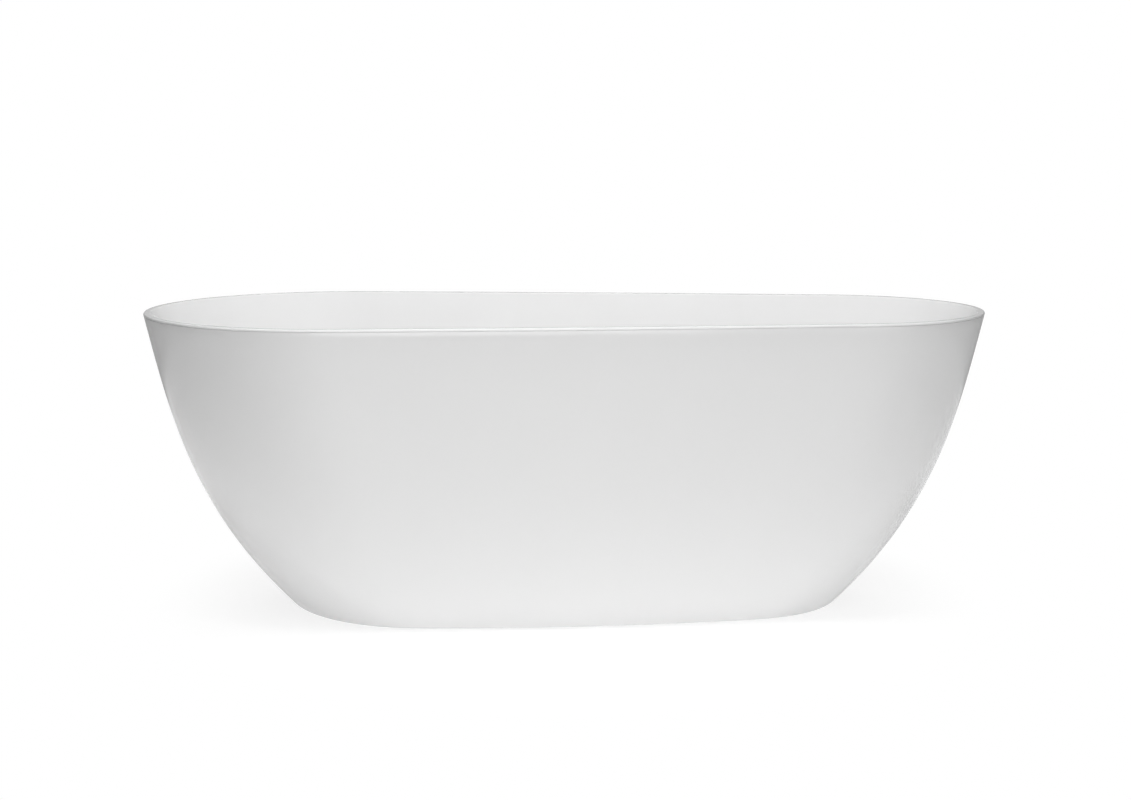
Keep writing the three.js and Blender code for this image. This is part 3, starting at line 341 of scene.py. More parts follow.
class Nodes:
    """A material's node tree, with short calls for the few nodes that the finishes use."""

    def __init__(self, name, roughness, metallic=0.0, **sockets):
        self.material = bpy.data.materials.new(name)
        self.material.use_nodes = True
        self.tree = self.material.node_tree
        self.shader = self.tree.nodes["Principled BSDF"]
        self.shader.inputs["Roughness"].default_value = roughness
        self.shader.inputs["Metallic"].default_value = metallic
        for socket, value in sockets.items():
            self.shader.inputs[socket.replace("_", " ")].default_value = value
        self.place = self.add("ShaderNodeTexCoord").outputs["Object"]

    def add(self, kind, **settings):
        node = self.tree.nodes.new(kind)
        for key, value in settings.items():
            setattr(node, key, value)
        return node

    def link(self, source, target):
        self.tree.links.new(source, target)

    def stretched(self, scale):
        node = self.add("ShaderNodeMapping")
        node.inputs["Scale"].default_value = scale
        self.link(self.place, node.inputs["Vector"])
        return node.outputs["Vector"]

    def noise(self, scale, detail=2.0, vector=None):
        node = self.add("ShaderNodeTexNoise")
        node.inputs["Scale"].default_value = scale
        node.inputs["Detail"].default_value = detail
        self.link(vector or self.place, node.inputs["Vector"])
        return node.outputs["Fac"]

    def cells(self, scale, vector=None):
        node = self.add("ShaderNodeTexVoronoi", feature="F1")
        node.inputs["Scale"].default_value = scale
        self.link(vector or self.place, node.inputs["Vector"])
        return node.outputs["Color"]

    def ramp(self, value, *stops):
        """Colours or greys by value. Each stop is (position, colour or grey)."""
        node = self.add("ShaderNodeValToRGB")
        elements = node.color_ramp.elements
        while len(elements) < len(stops):
            elements.new(0.5)
        for element, (position, colour) in zip(elements, stops):
            element.position = position
            rgb = colour if isinstance(colour, tuple) else (colour,) * 3
            element.color = (*rgb, 1)
        self.link(value, node.inputs["Fac"])
        return node.outputs["Color"]

    def colour(self, pattern, *stops):
        self.link(self.ramp(pattern, *stops), self.shader.inputs["Base Color"])

    def rough(self, pattern, *stops):
        self.link(self.ramp(pattern, *stops), self.shader.inputs["Roughness"])

    def bump(self, height, distance, strength=1.0):
        node = self.add("ShaderNodeBump")
        node.inputs["Distance"].default_value = distance
        node.inputs["Strength"].default_value = strength
        self.link(height, node.inputs["Height"])
        previous = self.shader.inputs["Normal"]
        if previous.is_linked:
            self.link(previous.links[0].from_socket, node.inputs["Normal"])
        self.link(node.outputs["Normal"], previous)


def shade(colour, factor):
    return tuple(min(1.0, channel * factor) for channel in colour)


def cast_acrylic(name):
    """Glossy white sanitary acrylic: a hint of orange peel, and faint wiping marks in the gloss."""
    finish = Nodes(name, 0.16, IOR=1.49, Coat_Weight=0.25, Coat_Roughness=0.05)
    white = ACRYLIC_WHITE
    finish.colour(finish.noise(2.2, 3), (0.3, shade(white, 0.992)), (0.7, shade(white, 1.006)))
    wipes = finish.noise(9, 5, finish.stretched((1, 1, 3)))
    finish.rough(wipes, (0.3, 0.13), (0.7, 0.19))
    finish.bump(finish.noise(60, 1), 0.00006, 0.5)
    finish.bump(finish.noise(900, 2), 0.000004, 0.5)
    return finish.material


def pressed_chipboard(name):
    """Flakes of several browns, lying flat, with finer dust between them."""
    finish = Nodes(name, 0.82)
    flakes = finish.cells(260, vector=finish.stretched((0.55, 1, 1.7)))
    base = (0.50, 0.33, 0.17)
    finish.colour(
        flakes, (0.1, shade(base, 0.5)), (0.45, base), (0.7, shade(base, 1.35)), (0.95, shade(base, 1.75)))
    finish.rough(finish.noise(400, 4), (0.3, 0.7), (0.7, 0.95))
    finish.bump(flakes, 0.00025)
    finish.bump(finish.noise(1500, 3), 0.00012)
    return finish.material


def zinc_spangle(name):
    """Hot-dip galvanised steel: large crystal flakes that differ a little in tone and gloss."""
    finish = Nodes(name, 0.42, 0.9)
    spangle = finish.cells(95)
    base = (0.52, 0.54, 0.56)
    finish.colour(spangle, (0.1, shade(base, 0.78)), (0.5, base), (0.9, shade(base, 1.18)))
    finish.rough(spangle, (0.1, 0.34), (0.9, 0.56))
    finish.bump(finish.noise(320, 4), 0.00007)
    return finish.material


def zinc_plating(name):
    finish = Nodes(name, 0.34, 0.95)
    base = (0.60, 0.58, 0.50)
    tint = finish.noise(130, 3)
    finish.colour(tint, (0.3, (0.55, 0.55, 0.52)), (0.55, base), (0.8, (0.66, 0.61, 0.46)))
    finish.rough(finish.noise(700, 4), (0.3, 0.26), (0.7, 0.44))
    finish.bump(finish.noise(2200, 2), 0.00001)
    return finish.material


def speckled(name, base, roughness, metallic, tint, gloss, grain):
    """A plain finish: its colour and its gloss wander between two levels, and it has a fine grain.

    tint: noise scale, detail, two (position, factor). gloss: the same, with roughness for the factor.
    grain: noise scale, detail, height.
    """
    finish = Nodes(name, roughness, metallic)
    levels = [(position, shade(base, factor)) for position, factor in tint[2:]]
    finish.colour(finish.noise(*tint[:2]), *levels)
    finish.rough(finish.noise(*gloss[:2]), *gloss[2:])
    finish.bump(finish.noise(*grain[:2]), grain[2])
    return finish.material


def moulded_plastic(name, base, roughness):
    """Satin injection-moulded plastic with a fine spark-eroded grain."""
    tint = (35, 4, (0.3, 0.95), (0.7, 1.03))
    gloss = (240, 3, (0.3, roughness - 0.07), (0.7, roughness + 0.08))
    return speckled(name, base, roughness, 0.0, tint, gloss, (2600, 2, 0.00003))


FINISHES.update({
    "acrylic_white": cast_acrylic("acrylic_white_finish"),
    "adhesive": speckled(
        "adhesive_finish", (0.74, 0.72, 0.66), 0.6, 0.0,
        (60, 6, (0.25, 0.82), (0.75, 1.08)), (180, 4, (0.3, 0.45), (0.7, 0.75)), (220, 5, 0.0006)),
    "chipboard": pressed_chipboard("chipboard_finish"),
    "galvanised_steel": zinc_spangle("galvanised_finish"),
    "zinc_plate": zinc_plating("zinc_finish"),
    "spring_steel": speckled(
        "spring_steel_finish", (0.42, 0.43, 0.45), 0.3, 1.0,
        (500, 4, (0.3, 0.8), (0.7, 1.15)), (1800, 3, (0.3, 0.22), (0.7, 0.4)), (3000, 2, 0.00001)),
    "chrome": speckled(
        "chrome_finish", (0.80, 0.81, 0.82), 0.06, 1.0,
        (40, 4, (0.3, 0.96), (0.7, 1.03)), (160, 6, (0.35, 0.04), (0.75, 0.11)), (300, 1, 0.000004)),
    "black_rubber": speckled(
        "rubber_finish", (0.03, 0.03, 0.03), 0.78, 0.0,
        (90, 5, (0.3, 0.7), (0.75, 1.7)), (500, 4, (0.3, 0.66), (0.7, 0.9)), (1400, 3, 0.00005)),
    "white_plastic": moulded_plastic("white_plastic_finish", (0.78, 0.78, 0.76), 0.42),
    "grey_plastic": moulded_plastic("grey_plastic_finish", (0.30, 0.31, 0.32), 0.46),
    "hose_grey": moulded_plastic("hose_finish", (0.42, 0.43, 0.44), 0.5),
})


def paint_nodes():
    """Gives every CAD node the finish of its slot."""
    slot_of = {part["node"]: part["material_slot"] for part in frame["record"]["subparts"]}
    for name, obj in frame["nodes"].items():
        obj.data.materials.clear()
        obj.data.materials.append(FINISHES[slot_of[name]])


# ---- The two acrylic skins ----

def corner_arc(centre, radius, first, last, rings=ROUND_RINGS):
    """Section points round an arc, as (half-length, height)."""
    return [
        (centre[0] + radius * math.cos(angle), centre[1] + radius * math.sin(angle))
        for angle in np.linspace(first, last, rings + 1)
    ]


def wall_line(half, first, last, rings):
    return [(half(z), z) for z in np.linspace(first, last, rings + 1)]


def fillet_line(top, slope, floor, run, rings):
    """Leaves along the wall from its lower end and lands flat on a floor."""
    corner = (top[0] - slope * (top[1] - floor), floor)
    landing = (corner[0] - run, floor)
    return [
        tuple(quadratic(t, a, b, c) for a, b, c in zip(top, corner, landing))
        for t in np.linspace(0, 1, rings + 1)[1:]
    ]


def offset_line(points, distance):
    """A section line moved sideways, to its left when followed in order."""
    points = np.array(points)
    along = np.gradient(points, axis=0)
    along /= np.linalg.norm(along, axis=1)[:, None]
    return [(x - dz * distance, z + dx * distance) for (x, z), (dx, dz) in zip(points, along)]


FILLET_TOP = BASIN_FLOOR + FLOOR_FALL + FILLET_RISE
FILLET_SLOPE = slope_of(inner_half, FILLET_TOP)
FLOOR_HALF = inner_half(FILLET_TOP) - FILLET_SLOPE * FILLET_RISE - FILLET_RUN


def basin_face():
    """The seen side of the basin in section: lip, rim, wall and fillet."""
    rim = outer_half(HEIGHT)
    outer_lean = math.atan(slope_of(outer_half, HEIGHT - 0.001))
    inner_lean = math.atan(slope_of(inner_half, HEIGHT - 0.001))
    round_z = HEIGHT - RIM_ROUND
    outer_centre = (rim - RIM_ROUND / math.tan((math.pi / 2 - outer_lean) / 2), round_z)
    inner_centre = (rim - RIM_WIDTH + RIM_ROUND / math.tan((math.pi / 2 + inner_lean) / 2), round_z)
    lip = [
        (outer_half(LIP_BOTTOM) - LIP_EASE, LIP_BOTTOM),
        (outer_half(LIP_BOTTOM) - 0.3 * LIP_EASE, LIP_BOTTOM + 0.3 * LIP_EASE),
        (outer_half(LIP_BOTTOM + LIP_EASE), LIP_BOTTOM + LIP_EASE),
    ]
    wall = wall_line(inner_half, LIP_BOTTOM - RIM_ROUND, FILLET_TOP, WALL_RINGS)
    return [
        *lip,
        *corner_arc(outer_centre, RIM_ROUND, -outer_lean, math.pi / 2),
        *corner_arc(inner_centre, RIM_ROUND, math.pi / 2, math.pi - inner_lean),
        *wall,
        *fillet_line(wall[-1], FILLET_SLOPE, BASIN_FLOOR + FLOOR_FALL, FILLET_RUN, FLOOR_RINGS),
    ], wall


def floor_rings(outer, radius, inner_z):
    """Rings from the floor's egg-shaped edge to a circle round the drain."""
    inner = circle_ring(radius, inner_z)
    shares = np.linspace(0, 1, FLOOR_RINGS + 1)[1:] ** 0.8
    return [lerp(outer, inner, share) for share in shares]


def basin_mesh():
    face, wall = basin_face()
    rings = [section_ring(half, z) for half, z in face]
    recess = half_across("drain_flange") + RECESS_CLEARANCE
    hole = DRAIN_TUBE_RADIUS + RECESS_CLEARANCE
    slope_end = BASIN_FLOOR + FLOOR_FALL * recess / FLOOR_HALF
    rings += floor_rings(rings[-1], recess + RECESS_EASE, slope_end)
    rings.append(circle_ring(recess, slope_end - RECESS_EASE))
    rings.append(circle_ring(recess, SEAT_FLOOR))
    rings.append(circle_ring(hole, SEAT_FLOOR))
    rings.append(circle_ring(hole, FLOOR_UNDERSIDE))
    back = offset_line(wall, BASIN_WALL)[::WALL_RINGS // BACK_RINGS]
    back_top = (back[0][0] + slope_of(inner_half, LIP_BOTTOM) * (LIP_BOTTOM - back[0][1]), LIP_BOTTOM)
    run = back[-1][0] - FILLET_SLOPE * (back[-1][1] - FLOOR_UNDERSIDE) - FLOOR_HALF
    under = fillet_line(back[-1], FILLET_SLOPE, FLOOR_UNDERSIDE, run, ROUND_RINGS)
    rings += [section_ring(half, z) for half, z in [*reversed(under), *reversed(back), back_top]]
    overflow_cutter = moved(rod(OVERFLOW_HOLE, -2 * BASIN_WALL, 2 * BASIN_WALL), OVERFLOW_PLACE)
    return cut(loft(rings, closed=True), overflow_cutter)


def skirt_mesh():
    lean = math.atan(slope_of(outer_half, FLOOR_GAP))
    base = outer_half(FLOOR_GAP)
    centre = (base - SKIRT_EDGE_ROUND / math.tan((math.pi / 2 + lean) / 2), FLOOR_GAP + SKIRT_EDGE_ROUND)
    edge = corner_arc(centre, SKIRT_EDGE_ROUND, -math.pi / 2, -lean, 2 * ROUND_RINGS)
    top = LIP_BOTTOM - HAIRLINE
    wall = wall_line(outer_half, edge[-1][1] + SKIRT_EDGE_ROUND / 2, top - LIP_EASE, WALL_RINGS)
    face = [(base - SKIRT_FLANGE, FLOOR_GAP), *edge, *wall]
    back = offset_line(face, SKIRT_WALL)
    rim = [
        (outer_half(top) - 0.3 * LIP_EASE, top - 0.3 * LIP_EASE),
        (outer_half(top) - LIP_EASE, top),
        (outer_half(top) - SKIRT_WALL, top),
    ]
    section = [*face, *rim, *reversed(back)]
    drills = [
        moved(rod(FLANGE_SCREW_HOLE, 0, FLOOR_GAP + 2 * SKIRT_WALL, 24), upright(screw))
        for screw in named("skirt_screw_")
    ]
    return cut(loft([section_ring(half, z) for half, z in section], closed=True), *drills)


def overflow_frame():
    """A frame on the basin's near wall: Z points into the tub, Y points up the wall."""
    z = HEIGHT - OVERFLOW_BELOW_RIM

    def point(x, height):
        return Vector((x, -side_width(height, cavity(height), x), height))

    up = (point(0, z + 0.001) - point(0, z - 0.001)).normalized()
    along = (point(0.001, z) - point(-0.001, z)).normalized()
    inward = up.cross(along).normalized()
    across = up.cross(inward)
    place = Matrix.Translation(point(0, z)) @ Matrix((across, up, inward)).transposed().to_4x4()
    return place


OVERFLOW_PLACE = overflow_frame()


def add_skins():
    piece("basin_shell", basin_mesh(), "tub", "acrylic_white", "basin")
    piece("skirt_shell", skirt_mesh(), "tub", "acrylic_white", "skirt")


# ---- Shapes for the hardware ----

THREAD_STEPS = 4
THREAD_COLUMNS = 24
THREAD_DEPTH = 0.0009
NUT_COLUMNS = 48
NUT_CHAMFER = math.tan(math.radians(30))
TUBE_WALL = 0.002
TUBE_CORNER = 0.0028


def merged(*meshes):
    """Several shapes as one mesh."""
    bm = bmesh.new()
    for mesh in meshes:
        bm.from_mesh(mesh)
    result = bpy.data.meshes.new("merged")
    bm.to_mesh(result)
    bm.free()
    return finished(result)


def block(low, high):
    """A box-shaped cutter."""
    corners = [(low[0], low[1]), (high[0], low[1]), (high[0], high[1]), (low[0], high[1])]
    return loft([np.array([(x, y, z) for x, y in corners]) for z in (low[2], high[2])])


def wavy_ring(radius, z, ribs, depth, columns):
    angle = np.arange(columns) * TURN / columns
    grip = radius - depth * np.clip(0.5 - 1.2 * np.cos(ribs * angle), 0, 1)
    return np.stack([grip * np.cos(angle), grip * np.sin(angle), np.full(columns, z)], 1)


def grip_nut(bore, radius, bottom, top, ribs=18, depth=0.0009):
    """A plastic union nut with ribs to grip."""
    columns = ribs * 10
    ease = 0.0007
    rings = [circle_ring(bore, bottom, columns), circle_ring(radius - depth - ease, bottom, columns)]
    rings.append(circle_ring(radius - depth, bottom + ease, columns))
    rings += [wavy_ring(radius, z, ribs, depth, columns) for z in (bottom + 2 * ease, top - 3 * ease)]
    rings.append(circle_ring(radius - depth, top - 2 * ease, columns))
    rings.append(circle_ring(radius - depth - ease, top, columns))
    rings.append(circle_ring(bore, top, columns))
    return loft(rings, closed=True)


def thread_rings(radius, bottom, top, pitch, depth, columns=THREAD_COLUMNS):
    """Rings up a threaded shank. The crests climb one pitch a turn and run out at both ends."""
    angle = np.arange(columns) * TURN / columns
    rings = []
    for z in np.linspace(bottom, top, round((top - bottom) / pitch * THREAD_STEPS) + 1):
        phase = (z / pitch - angle / TURN) % 1
        run_out = min(1, (z - bottom) / pitch, (top - z) / pitch)
        reach = radius - depth * run_out * np.abs(2 * phase - 1)
        rings.append(np.stack([reach * np.cos(angle), reach * np.sin(angle), np.full(columns, z)], 1))
    return rings


def hexagon_rings(across_flats, bottom, top, columns):
    """A hexagon with a corner on the X axis, its corners chamfered to a circle at both ends."""
    angle = np.arange(columns) * TURN / columns
    reach = across_flats / 2 / np.cos(angle % (TURN / 6) - TURN / 12)
    crown = 0.97 * across_flats / 2
    drop = (reach - crown) * NUT_CHAMFER
    rings = [circle_ring(crown, bottom, columns)]
    for heights in (bottom + drop, top - drop):
        rings.append(np.stack([reach * np.cos(angle), reach * np.sin(angle), heights], 1))
    rings.append(circle_ring(crown, top, columns))
    return rings


def nut_mesh(across_flats, bore, bottom, top):
    lead = 0.0006
    return loft([
        circle_ring(bore, bottom + lead, NUT_COLUMNS),
        circle_ring(bore + lead, bottom, NUT_COLUMNS),
        *hexagon_rings(across_flats, bottom, top, NUT_COLUMNS),
        circle_ring(bore + lead, top, NUT_COLUMNS),
        circle_ring(bore, top - lead, NUT_COLUMNS),
    ], closed=True)


def pan_screw(radius, length, pitch, head_ratio=2.0, head_height=0.003):
    """A pan-head screw with a cross recess. The head's underside is at 0 and the shank points up."""
    head = radius * head_ratio
    dome = [(0.3, 1.0), (0.62, 0.95), (0.84, 0.78), (0.96, 0.5), (1.0, 0.2), (0.97, 0.0)]
    rings = [circle_ring(head * share, -head_height * rise, THREAD_COLUMNS) for share, rise in dome]
    rings += thread_rings(radius, 0, length - radius, pitch, 0.22 * radius)
    rings.append(circle_ring(0.12 * radius, length, THREAD_COLUMNS))
    arm, slot, depth = 0.55 * head, 0.12 * head, 0.6 * head_height
    arms = (arm, slot), (slot, arm)
    cutters = [block((-x, -y, -2 * head_height), (x, y, depth - head_height)) for x, y in arms]
    return cut(loft(rings), *cutters)


def transported(path):
    """A path's points, and two directions across it at each that turn as little as they can."""
    tangents = np.gradient(path, axis=0)
    tangents /= np.linalg.norm(tangents, axis=1)[:, None]
    across = np.cross(tangents[0], (0.0, 0.0, 1.0) if abs(tangents[0][2]) < 0.9 else (1.0, 0.0, 0.0))
    first, second = [], []
    for tangent in tangents:
        across = across - tangent * across.dot(tangent)
        across /= np.linalg.norm(across)
        first.append(across)
        second.append(np.cross(tangent, across))
    return np.array(first), np.array(second)


def pipe_rings(path, radii, columns):
    first, second = transported(path)
    angle = np.arange(columns) * TURN / columns
    round_angle = np.cos(angle)[:, None], np.sin(angle)[:, None]
    return [
        point + radius * (round_angle[0] * a + round_angle[1] * b)
        for point, radius, a, b in zip(path, radii, first, second)
    ]


def between(a, b, start, end, t):
    return (a * (end - t) + b * (t - start)) / (end - start)


def catmull_rom(points, steps):
    """A centripetal Catmull-Rom curve through the points."""
    points = np.array(points, float)
    ends = [2 * points[0] - points[1], *points, 2 * points[-1] - points[-2]]
    result = []
    for p0, p1, p2, p3 in zip(ends, ends[1:], ends[2:], ends[3:]):
        k = [0.0]
        for a, b in ((p0, p1), (p1, p2), (p2, p3)):
            k.append(k[-1] + math.sqrt(np.linalg.norm(b - a)))
        for t in np.linspace(k[1], k[2], steps, endpoint=False):
            a = between(p0, p1, k[0], k[1], t)
            b = between(p1, p2, k[1], k[2], t)
            c = between(p2, p3, k[2], k[3], t)
            d, e = between(a, b, k[0], k[2], t), between(b, c, k[1], k[3], t)
            result.append(between(d, e, k[1], k[2], t))
    return np.array([*result, points[-1]])


def resampled(path, step):
    """The same path with evenly spaced points."""
    along = np.concatenate([[0], np.cumsum(np.linalg.norm(np.diff(path, axis=0), axis=1))])
    stations = np.linspace(0, along[-1], round(along[-1] / step) + 1)
    return np.stack([np.interp(stations, along, path[:, k]) for k in range(3)], 1), stations


def softened(node, width, steps=2):
    """A CAD node's shape with its flat facets joined up and its edges rounded."""
    bm = bmesh.new()
    bm.from_mesh(frame["nodes"][node].data)
    bmesh.ops.remove_doubles(bm, verts=bm.verts, dist=1e-6)
    bmesh.ops.dissolve_limit(bm, angle_limit=math.radians(1), verts=bm.verts, edges=bm.edges)
    edges = [e for e in bm.edges if len(e.link_faces) == 2 and e.calc_face_angle() > BEVEL_ANGLE]
    bmesh.ops.bevel(
        bm, geom=edges, offset=width, segments=steps, profile=0.5, affect="EDGES", clamp_overlap=True)
    mesh = bpy.data.meshes.new(node)
    bm.to_mesh(mesh)
    bm.free()
    return finished(mesh)


# ---- Board, frame and screws ----

SCREW_CLEARANCE = 0.0003
BOARD_SCREW_RADIUS = 0.003
BOARD_SCREW_PITCH = 0.0013
FLANGE_SCREW_RADIUS = 0.0025
FLANGE_SCREW_PITCH = 0.0010
SCREW_HEAD = 0.003
STUD_RADIUS = 0.005
BEAD_RADIUS = 0.0022
BEAD_RIPPLE = 0.0035


def square_outline(half, corner, steps=5):
    """A rounded square's outline, as (u, v) points."""
    points = []
    for quarter in range(4):
        start = quarter * TURN / 4
        turn = Matrix.Rotation(start, 2)
        centre = turn @ Vector((half - corner, half - corner))
        for angle in np.linspace(start, start + TURN / 4, steps + 1):
            points.append((centre.x + corner * math.cos(angle), centre.y + corner * math.sin(angle)))
    return np.array(points)


def square_tube(node, lengthways):
    """A roll-formed square tube that fills a CAD tube's box, along X (0) or Y (1)."""
    low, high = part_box(node)
    centre = (low + high) / 2
    half = (high.z - low.z) / 2
    outer = square_outline(half, TUBE_CORNER)
    inner = square_outline(half - TUBE_WALL, TUBE_CORNER - TUBE_WALL)
    mitre = 0.0003

    def ring(outline, end):
        u, v = outline.T
        ends = np.full(len(u), end)
        sides = (ends, centre.y + u) if lengthways == 0 else (centre.x + u, ends)
        return np.stack([*sides, centre.z + v], 1)

    first, last = low[lengthways], high[lengthways]
    small = square_outline(half - mitre, TUBE_CORNER - mitre)
    return loft([
        ring(small, first), ring(outer, first + mitre), ring(outer, last - mitre), ring(small, last),
        ring(inner, last), ring(inner, first),
    ], closed=True)


def pierced(tube, node, passing, radius):
    """A tube with an upright hole for every CAD node that passes through it."""
    low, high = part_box(node)
    drills = []
    for other in passing:
        place = middle(other)
        if low.x < place.x < high.x and low.y < place.y < high.y:
            drills.append(moved(rod(radius, low.z - 0.01, high.z + 0.01, 32), upright(other)))
    return cut(tube, *drills) if drills else tube


def weld_bead(start, end):
    """A rippled bead between two points."""
    path, along = resampled(np.array([start, end], float), BEAD_RIPPLE / 6)
    taper = np.sqrt(np.clip(1 - (2 * along / along[-1] - 1) ** 6, 0.02, 1))
    radii = BEAD_RADIUS * taper * (1 + 0.09 * np.abs(np.sin(along / BEAD_RIPPLE * math.pi)))
    return loft(pipe_rings(path, radii, 12))


def weld_beads(tube, rails):
    """Beads where the rails lie on a cross tube, along both sides of each rail."""
    low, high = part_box(tube)
    beads = []
    for rail in rails:
        rail_low, rail_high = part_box(rail)
        for y in (rail_low.y, rail_high.y):
            inset = 2 * BEAD_RADIUS
            beads.append(weld_bead((low.x + inset, y, high.z), (high.x - inset, y, high.z)))
    return beads


def add_frame():
    rails, board_screws, studs = named("frame_rail_"), named("board_screw_"), named("foot_stud_")
    piece("chipboard_base", softened("base_board", 0.0005), "tub", "chipboard", "base_board")
    for rail in rails:
        tube = pierced(square_tube(rail, 0), rail, board_screws, BOARD_SCREW_RADIUS + SCREW_CLEARANCE)
        piece(rail + "_tube", tube, "tub", "galvanised_steel", rail)
    for name in named("cross_tube_"):
        tube = pierced(square_tube(name, 1), name, studs, STUD_RADIUS + SCREW_CLEARANCE)
        welded = merged(tube, *weld_beads(name, rails))
        piece(name + "_welded", welded, "tub", "galvanised_steel", name)
    for name in board_screws:
        low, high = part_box(name)
        screw = pan_screw(BOARD_SCREW_RADIUS, high.z - low.z - SCREW_HEAD, BOARD_SCREW_PITCH)
        seat = Matrix.Translation((0, 0, low.z + SCREW_HEAD))
        piece(name + "_pan", moved(screw, upright(name) @ seat), "tub", "zinc_plate", name)
    for name in named("skirt_screw_"):
        low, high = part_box(name)
        screw = pan_screw(FLANGE_SCREW_RADIUS, high.z - low.z - SCREW_HEAD, FLANGE_SCREW_PITCH)
        seat = Matrix.Translation((0, 0, high.z - SCREW_HEAD)) @ Matrix.Rotation(math.pi, 4, "X")
        piece(name + "_pan", moved(screw, upright(name) @ seat), "tub", "zinc_plate", name)
    for name in named("skirt_bracket_"):
        piece(name + "_strip", softened(name, 0.0006), "tub", "galvanised_steel", name)


# ---- Levelling feet ----

NUT_ACROSS_FLATS = 0.017
STUD_PITCH = 0.0015
PAD_EDGE = 0.005
PAD_BOSS_RADIUS = 0.009
PAD_SOCKET_FLOOR = 0.006
STUD_HEX_HEIGHT = 0.006
SLIDE_GAP = 0.0003
PAD_GROOVES = (0.008, 0.013, 0.018)


def pad_mesh(radius, height):
    """A moulded foot: grooves underneath, a sloping skirt and a socket for the stud."""
    groove = 0.0007
    chamfer = 0.001
    bore = STUD_RADIUS + SLIDE_GAP
    underside = [(0.004, 0)]
    for r in PAD_GROOVES:
        underside += [(r, 0), (r + groove, groove), (r + 2 * groove, groove), (r + 3 * groove, 0)]
    outline = [
        *underside, (radius - chamfer, 0), (radius, chamfer), (radius, PAD_EDGE),
        (radius - 2 * chamfer, PAD_EDGE + chamfer), (PAD_BOSS_RADIUS + 2 * chamfer, height / 2),
        (PAD_BOSS_RADIUS, height / 2 + 2 * chamfer),
        (PAD_BOSS_RADIUS, height), (bore, height), (bore, PAD_SOCKET_FLOOR),
    ]
    return lathe(outline, 0.0006, hollow=False)


def stud_mesh(bottom, top, collar):
    """A plain foot, a hexagon to turn it by, and a thread up to a chamfered end."""
    chamfer = 0.001
    rings = [
        circle_ring(STUD_RADIUS - chamfer / 2, bottom, THREAD_COLUMNS),
        circle_ring(STUD_RADIUS, bottom + chamfer / 2, THREAD_COLUMNS),
        circle_ring(STUD_RADIUS, collar, THREAD_COLUMNS),
        *hexagon_rings(NUT_ACROSS_FLATS, collar, collar + STUD_HEX_HEIGHT, THREAD_COLUMNS),
        *thread_rings(STUD_RADIUS, collar + STUD_HEX_HEIGHT, top - chamfer, STUD_PITCH, THREAD_DEPTH),
        circle_ring(STUD_RADIUS - chamfer, top, THREAD_COLUMNS),
    ]
    return loft(rings)


def add_feet():
    for pad in named("foot_pad_"):
        place = pad.removeprefix("foot_pad_")
        stud = "foot_stud_" + place
        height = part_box(pad)[1].z
        bottom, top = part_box(stud)[0].z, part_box(stud)[1].z
        pad_shape = moved(pad_mesh(half_across(pad), height), upright(pad))
        stud_shape = moved(stud_mesh(bottom, top, height + SLIDE_GAP), upright(stud))
        piece("pad_" + place + "_moulded", pad_shape, "pad_" + place, "black_rubber", pad)
        piece("stud_" + place + "_threaded", stud_shape, "stud_" + place, "zinc_plate", stud)
        for kind, slot in (("weld_nut_", "galvanised_steel"), ("lock_nut_", "zinc_plate")):
            low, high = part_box(kind + place)
            nut = nut_mesh(NUT_ACROSS_FLATS, STUD_RADIUS + SLIDE_GAP, low.z, high.z)
            piece(kind + place + "_hex", moved(nut, upright(kind + place)), "tub", slot, kind + place)


# ---- Waste, stopper and trap ----

THROAT_RADIUS = 0.020
SEAT_RADIUS = 0.031
SEAT_DEPTH = 0.0022
FLANGE_PLATE = 0.0028
SPIDER_DROP = 0.029
SPIDER_HEIGHT = 0.010
SPIDER_BOSS = 0.010
SPOKE_HALF = 0.002
CARTRIDGE_RADIUS = 0.006
CARTRIDGE_BORE = 0.005
CARTRIDGE_CAP = 0.0037
CARTRIDGE_FLOOR = 0.003
STEM_RADIUS = 0.003
STEM_COLLAR = (0.0046, 0.002)
STEM_TAIL = 0.012
SPRING_TURNS = 5
SPRING_WIRE = 0.001
SPRING_FLAT_TURN = 0.4
CAP_EDGE = 0.0014
CAP_DOME = 0.0034
CAP_BOSS = (0.007, 0.008)
CAP_SOCKET_ROOF = 0.001
SEAL_LAP = 0.004
SOCKET_RADIUS = 0.0223
PIPE_WALL = 0.003
OUTLET_RADIUS = 0.020
BODY_RADIUS = 0.027
BODY_FLANGE_HEIGHT = 0.006
BODY_FLOOR = 0.0883
TRAP_WALL = 0.003
TRAP_CORNER = 0.012
TRAP_TOE = 0.003
TRAP_OUTLET_HEIGHT = 0.0529
HOSE_RADIUS = 0.010
HOSE_WALL = 0.0022


